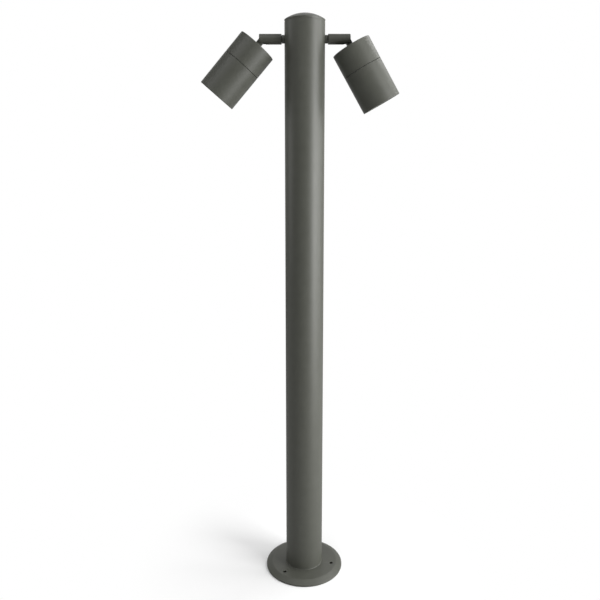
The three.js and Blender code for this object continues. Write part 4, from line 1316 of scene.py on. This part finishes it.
@dataclass(frozen=True)
class Head:
    """One spot head: the knuckle, two housings, and the glazing and lamp inside.

    Attributes:
        side: Which arm it hangs from.
        tongue: Radius of the tongue's round end.
        tongue_thickness: Its thickness.
        tongue_edge: Fillet of its edges.
        pin_hole: Radius of the pivot screw's hole.
        collar: Radius of the collar against the head's back.
        collar_height: Height of the collar.
        root: How far the tongue runs down into the collar.
        shank: Radius of the shank through the back wall.
        lead_way: Radius of the lead's bore through the knuckle.
        edge: Fillet of the head's back edge.
        seam_edge: Fillet of the edges at the seam.
        mouth_edge: Fillet of the mouth's edges.
        rear_wall: Wall of the rear housing.
        back_wall: Thickness of its back.
        front_wall: Wall of the front sleeve.
        spigot_gap: Radial gap between the rear housing's spigot and the front sleeve.
        spigot_wall: Wall of that spigot.
        seam: Width of the seam between the housings.
        neck_in: From the seam back to where the bore starts to widen.
        lip: Width and thickness of the lip at the mouth.
        seal: Radius of the O-ring's section.
        gasket_width: Radial width of the gasket behind the glass.
        snap_ring_width: Radial width of the snap ring.
    """

    side: Side
    tongue: float = 4.4 * MM
    tongue_thickness: float = 7.4 * MM
    tongue_edge: float = 0.5 * MM
    pin_hole: float = 2.08 * MM
    collar: float = 6.25 * MM
    collar_height: float = 2 * MM
    root: float = 1 * MM
    shank: float = 4.9 * MM
    lead_way: float = 2.6 * MM
    edge: float = 0.8 * MM
    seam_edge: float = 0.3 * MM
    mouth_edge: float = 0.7 * MM
    rear_wall: float = 3 * MM
    back_wall: float = 4 * MM
    front_wall: float = 2.5 * MM
    spigot_gap: float = 0.3 * MM
    spigot_wall: float = 2.6 * MM
    seam: float = 0.6 * MM
    neck_in: float = 2 * MM
    lip: tuple[float, float] = (4 * MM, 2.2 * MM)
    seal: float = 0.8 * MM
    gasket_width: float = 4 * MM
    snap_ring_width: float = 2.4 * MM

    @property
    def axis(self) -> Axis:
        """The head's line, from its pivot towards its mouth; angle 0 is to the rear."""
        name = self.side.value
        pivot = np.array(joint(f"head_tilt_{name}")["pos_m"])
        along = np.array(joint(f"front_draw_{name}")["axis"])
        return Axis(pivot, along / np.linalg.norm(along), np.array([0.0, 1.0, 0.0]))

    def part(self, name: str, slot: str, body: str = "head") -> Part:
        """What one piece of this head is called."""
        name = f"{name}_{self.side.value}"
        return Part(f"{name}_fine", f"{body}_{self.side.value}", name, slot)

    def knuckle(self) -> bpy.types.Object:
        """Makes the knuckle: a tongue with a round end on a collar and a hollow shank.

        The tongue is a stack of outlines, each a half circle about the pivot with straight sides down to
        the collar. An outline shrinks towards both faces by a quarter circle, which rounds the edges.
        """
        name = f"knuckle_{self.side.value}"
        back = span(f"rear_housing_{self.side.value}", self.axis)[0]
        collar_top = back - self.collar_height
        end = span(name, self.axis)[1]
        turn = np.linspace(0, math.pi / 2, FILLET_STEPS + 1)
        inset = self.tongue_edge * (1 - np.sin(turn))
        level = self.tongue_thickness / 2 - self.tongue_edge * (1 - np.cos(turn))
        inset = np.concatenate([[self.tongue], inset, inset[::-1], [self.tongue]])
        level = np.concatenate([level[:1], level, -level[::-1], -level[:1]])
        bend = np.linspace(0, math.pi, BEND_STEPS)
        foot = collar_top + self.root
        unit = np.vstack([np.column_stack([np.cos(bend), -np.sin(bend)]), [[-1, 0], [1, 0]]])
        drop = np.concatenate([np.zeros(len(bend)), [foot, foot]])
        radius = (self.tongue - inset)[:, None]
        side, down = unit[:, 0] * radius, unit[:, 1] * radius + drop
        height = np.broadcast_to(level[:, None], side.shape)
        basis = np.array([self.axis.beside, self.axis.along, self.axis.across])
        tongue = woven(self.axis.origin + np.stack([side, down, height], axis=-1) @ basis, closed=False)
        corners = [
            (0, collar_top), (self.collar, collar_top, 0.5 * MM),
            (self.collar, back - SEAT_GAP, 0.2 * MM), (self.shank, back - SEAT_GAP, 0.1 * MM),
            (self.shank, end, 0.5 * MM), (0, end),
        ]
        knuckle = self.part("knuckle", "paint").make([solid(self.axis, corners, Fineness.ARM)], [PAINT])
        worked(knuckle, [tongue], Operation.JOIN)
        rear = Axis(self.axis.origin, self.axis.across, self.axis.along)
        depth = self.tongue_thickness
        drills = [
            rod(rear, self.pin_hole, -depth, depth, Fineness.SCREW),
            rod(self.axis, self.lead_way, collar_top - self.collar_height, end + OVERCUT, Fineness.SCREW),
        ]
        worked(knuckle, drills, Operation.CUT)
        return knuckle

    def rear_housing(self) -> bpy.types.Object:
        """Makes the rear housing, a cup with a grooved spigot for the front sleeve."""
        name = f"rear_housing_{self.side.value}"
        back, end = span(name, self.axis)
        radius = reach(name, self.axis)
        seam = span(f"front_sleeve_{self.side.value}", self.axis)[0] - self.seam
        spigot = radius - self.front_wall - self.spigot_gap
        middle = (seam + end) / 2
        hole = self.shank + SEAT_GAP
        bore = radius - self.rear_wall
        spigot_bore = spigot - self.spigot_wall
        corners = [
            (hole, back, 0.2 * MM), (radius, back, self.edge), (radius, seam, self.seam_edge),
            (spigot, seam, 0.2 * MM),
            *groove(spigot, middle - self.seal, middle + self.seal, 2 * self.seal, 0.1 * MM),
            (spigot, end, 0.4 * MM), (spigot_bore, end, 0.3 * MM),
            (spigot_bore, seam - self.neck_in, 0.5 * MM),
            (bore, seam - self.neck_in - (bore - spigot_bore), 0.5 * MM),
            (bore, back + self.back_wall, 1.5 * MM), (hole, back + self.back_wall, 0.2 * MM),
        ]
        return self.part("rear_housing", "paint").make(
            [ring(self.axis, corners, Fineness.HEAD)], [PAINT]
        )

    def front_sleeve(self) -> bpy.types.Object:
        """Makes the front sleeve, with the lip that the glass seats against."""
        name = f"front_sleeve_{self.side.value}"
        start, mouth = span(name, self.axis)
        radius = reach(name, self.axis)
        bore = radius - self.front_wall
        width, thickness = self.lip
        corners = [
            (bore, start, 0.4 * MM), (radius, start, self.seam_edge), (radius, mouth, self.mouth_edge),
            (radius - width, mouth, self.mouth_edge), (radius - width, mouth - thickness, 0.2 * MM),
            (bore, mouth - thickness, 0.2 * MM),
        ]
        return self.part("front_sleeve", "paint", "front").make(
            [ring(self.axis, corners, Fineness.HEAD)], [PAINT]
        )

    def flat_ring(self, name: str, slot: str, width: float, finish: Finish) -> bpy.types.Object:
        """Makes a thin ring in the front sleeve, the gasket or the snap ring."""
        node = f"{name}_{self.side.value}"
        low, high = span(node, self.axis)
        radius = reach(node, self.axis)
        edge = (high - low) / 4
        corners = [
            (radius, low, edge), (radius, high, edge), (radius - width, high, edge),
            (radius - width, low, edge),
        ]
        return self.part(name, slot, "front").make([ring(self.axis, corners, Fineness.HEAD)], [finish])

    def glass(self) -> bpy.types.Object:
        """Makes the flat glass, with ground edges."""
        node = f"lens_glass_{self.side.value}"
        low, high = span(node, self.axis)
        radius = reach(node, self.axis)
        corners = [
            (0, low), (radius, low, 0.4 * MM), (radius, high, 0.4 * MM), (0, high),
        ]
        return self.part("lens_glass", "glass", "front").make(
            [solid(self.axis, corners, Fineness.HEAD)], [GLASS]
        )

    def lamp(self) -> bpy.types.Object:
        """Makes the reflector lamp."""
        node = f"lamp_{self.side.value}"
        shells = Lamp(self.axis, *span(node, self.axis), reach(node, self.axis)).shells()
        return self.part("lamp", "lamp").make(shells, [LAMP_WHITE, OPTIC, STEEL, STEEL])

    def seal_ring(self) -> bpy.types.Object:
        """Makes the O-ring between the housings."""
        part = self.part("housing_seal", "rubber")
        return o_ring(part, self.axis, part.node, Fineness.HEAD)

    def build(self) -> list[bpy.types.Object]:
        """Makes all pieces of the head that show."""
        return [
            self.knuckle(),
            self.rear_housing(),
            self.seal_ring(),
            self.front_sleeve(),
            self.flat_ring("lens_gasket", "silicone", self.gasket_width, SILICONE),
            self.flat_ring("lens_ring", "steel", self.snap_ring_width, STEEL),
            self.glass(),
            self.lamp(),
        ]


# ---------------------------------------------------------------- Studio


@dataclass(frozen=True)
class Softbox:
    """A large soft lamp that faces a point on the post.

    Attributes:
        name: The lamp's name.
        azimuth: Angle round the post from the camera's side towards the right, in degrees.
        height: Height of its middle.
        distance: Distance from the post.
        size: Width and height.
        power: Power in watts.
        aim: Height of the point that it faces.
    """

    name: str
    azimuth: float
    height: float
    distance: float
    size: tuple[float, float]
    power: float
    aim: float = 0.5

    def build(self) -> None:
        """Makes the lamp."""
        lamp = bpy.data.lights.new(self.name, "AREA")
        lamp.shape = "RECTANGLE"
        lamp.size, lamp.size_y = self.size
        lamp.energy = self.power
        turn = math.radians(self.azimuth)
        place = Vector((math.sin(turn) * self.distance, -math.cos(turn) * self.distance, self.height))
        holder = bpy.data.objects.new(self.name, lamp)
        facing = (Vector((0, 0, self.aim)) - place).to_track_quat("-Z", "Y").to_matrix().to_4x4()
        holder.matrix_world = Matrix.Translation(place) @ facing
        bpy.context.scene.collection.objects.link(holder)


@dataclass(frozen=True)
class Studio:
    """Pale floor, soft lamps, plain surroundings and the camera.

    Attributes:
        softboxes: The lamps.
        surroundings: Brightness of the light from all round.
        floor_radius: Radius of the floor.
        shadow: Distances from the post where the floor starts to turn, and has turned, plain white.
        floor_shade: Brightness of the floor near the post.
        bounce_shade: Brightness of the floor as the object's surfaces see it.
        camera_place: The camera's position.
        camera_pitch: How far it looks down, in degrees.
        camera_turn: How far it looks to the left, in degrees.
        lens: Focal length in millimetres, for the sensor's width.
        shift: Upward shift of the lens, as a share of the frame.
    """

    softboxes: tuple[Softbox, ...] = (
        Softbox("key_light", 61, 0.65, 1.5, (0.75, 1.25), 32),
        Softbox("side_light", 95, 0.8, 1.5, (0.5, 1.3), 11),
        Softbox("left_light", -90, 0.95, 1.8, (0.8, 1.1), 6.5, 0.8),
        Softbox("top_light", -40, 2.2, 1.1, (1.5, 1.5), 15, 0.6),
        Softbox("rear_light", 125, 1.7, 1.1, (0.7, 0.7), 7, 0.1),
        Softbox("backdrop_light", 180, 1.0, 1.5, (3.0, 1.6), 8, 0.7),
        Softbox("high_light", 180, 2.4, 1.6, (1.6, 1.2), 6, 0.88),
    )
    surroundings: float = 0.15
    floor_radius: float = 40.0
    shadow: tuple[float, float] = (0.07, 0.3)
    floor_shade: float = 0.9
    bounce_shade: float = 0.5
    camera_place: tuple[float, float, float] = (-0.0060, -0.9623, 0.6675)
    camera_pitch: float = 9.818
    camera_turn: float = 0.063
    lens: float = 37.25
    shift: float = -0.0436

    def camera(self) -> None:
        """Makes the camera."""
        data = bpy.data.cameras.new("camera")
        data.sensor_width = SENSOR_WIDTH
        data.lens = self.lens
        data.shift_y = self.shift
        data.clip_end = 4 * self.floor_radius
        camera = bpy.data.objects.new("camera", data)
        camera.location = self.camera_place
        camera.rotation_euler = (math.radians(90 - self.camera_pitch), 0, math.radians(self.camera_turn))
        bpy.context.scene.collection.objects.link(camera)
        bpy.context.scene.camera = camera

    def surround(self) -> None:
        """Makes the surroundings: white where the camera sees them, and dimmer as a light."""
        world = bpy.data.worlds.new("plain_surroundings")
        world.use_nodes = True
        nodes, links = world.node_tree.nodes, world.node_tree.links
        background = nodes["Background"]
        background.inputs["Color"].default_value = (1, 1, 1, 1)
        path = nodes.new("ShaderNodeLightPath")
        strength = nodes.new("ShaderNodeMapRange")
        strength.inputs["To Min"].default_value = self.surroundings
        strength.inputs["To Max"].default_value = 1.0
        links.new(path.outputs["Is Camera Ray"], strength.inputs["Value"])
        links.new(strength.outputs["Result"], background.inputs["Strength"])
        bpy.context.scene.world = world

    def floor_material(self) -> bpy.types.Material:
        """Pale floor that takes a soft shadow near the base and turns plain white further out."""
        material = bpy.data.materials.new("pale_floor")
        material.use_nodes = True
        tree = material.node_tree
        tree.nodes.clear()
        place = tree.nodes.new("ShaderNodeTexCoord")
        length = tree.nodes.new("ShaderNodeVectorMath")
        length.operation = "LENGTH"
        fade = tree.nodes.new("ShaderNodeMapRange")
        fade.interpolation_type = "SMOOTHSTEP"
        fade.inputs["From Min"].default_value, fade.inputs["From Max"].default_value = self.shadow
        matt = tree.nodes.new("ShaderNodeBsdfDiffuse")
        matt.inputs["Color"].default_value = (*[self.floor_shade] * 3, 1)
        white = tree.nodes.new("ShaderNodeEmission")
        white.inputs["Color"].default_value = (1, 1, 1, 1)
        seen = tree.nodes.new("ShaderNodeMixShader")
        dim = tree.nodes.new("ShaderNodeBsdfDiffuse")
        dim.inputs["Color"].default_value = (*[self.bounce_shade] * 3, 1)
        path = tree.nodes.new("ShaderNodeLightPath")
        mix = tree.nodes.new("ShaderNodeMixShader")
        out = tree.nodes.new("ShaderNodeOutputMaterial")
        for source, target in (
            (place.outputs["Object"], length.inputs[0]),
            (length.outputs["Value"], fade.inputs["Value"]),
            (fade.outputs["Result"], seen.inputs["Fac"]),
            (matt.outputs["BSDF"], seen.inputs[1]),
            (white.outputs["Emission"], seen.inputs[2]),
            (path.outputs["Is Camera Ray"], mix.inputs["Fac"]),
            (dim.outputs["BSDF"], mix.inputs[1]),
            (seen.outputs["Shader"], mix.inputs[2]),
            (mix.outputs["Shader"], out.inputs["Surface"]),
        ):
            tree.links.new(source, target)
        return material

    def floor(self) -> None:
        """Makes the floor, a flat disc."""
        rows = np.array([0.0, 0.05, 0.2, 1.0, self.floor_radius])[:, None]
        turn = full_turn(FLOOR_STEPS)
        x, y = rows * np.cos(turn), rows * np.sin(turn)
        grid = np.stack([x, y, np.zeros(x.shape)], axis=-1)
        mesh = mesh_from("floor", [woven(grid, closed=False)])
        mesh.materials.append(self.floor_material())
        floor = bpy.data.objects.new("floor", mesh)
        bpy.context.scene.collection.objects.link(floor)

    def build(self) -> None:
        """Sets up the whole studio."""
        self.camera()
        self.surround()
        self.floor()
        for softbox in self.softboxes:
            softbox.build()
        bpy.context.scene.view_settings.view_transform = "Standard"


# ---------------------------------------------------------------- Assembly


def main() -> None:
    """Builds the studio, dresses the frame and makes each piece."""
    logging.basicConfig(level=logging.INFO, format="%(name)s %(message)s")
    Studio().build()
    dress_nodes()
    post = Post()
    pieces = [Base().build(), post.tube(), post.cap(), post.cap_seal()]
    for side in Side:
        pieces += Arm(side, post.radius).build()
        pieces += Head(side).build()
    for piece in pieces:
        report(piece)


if __name__ == "__main__":
    main()
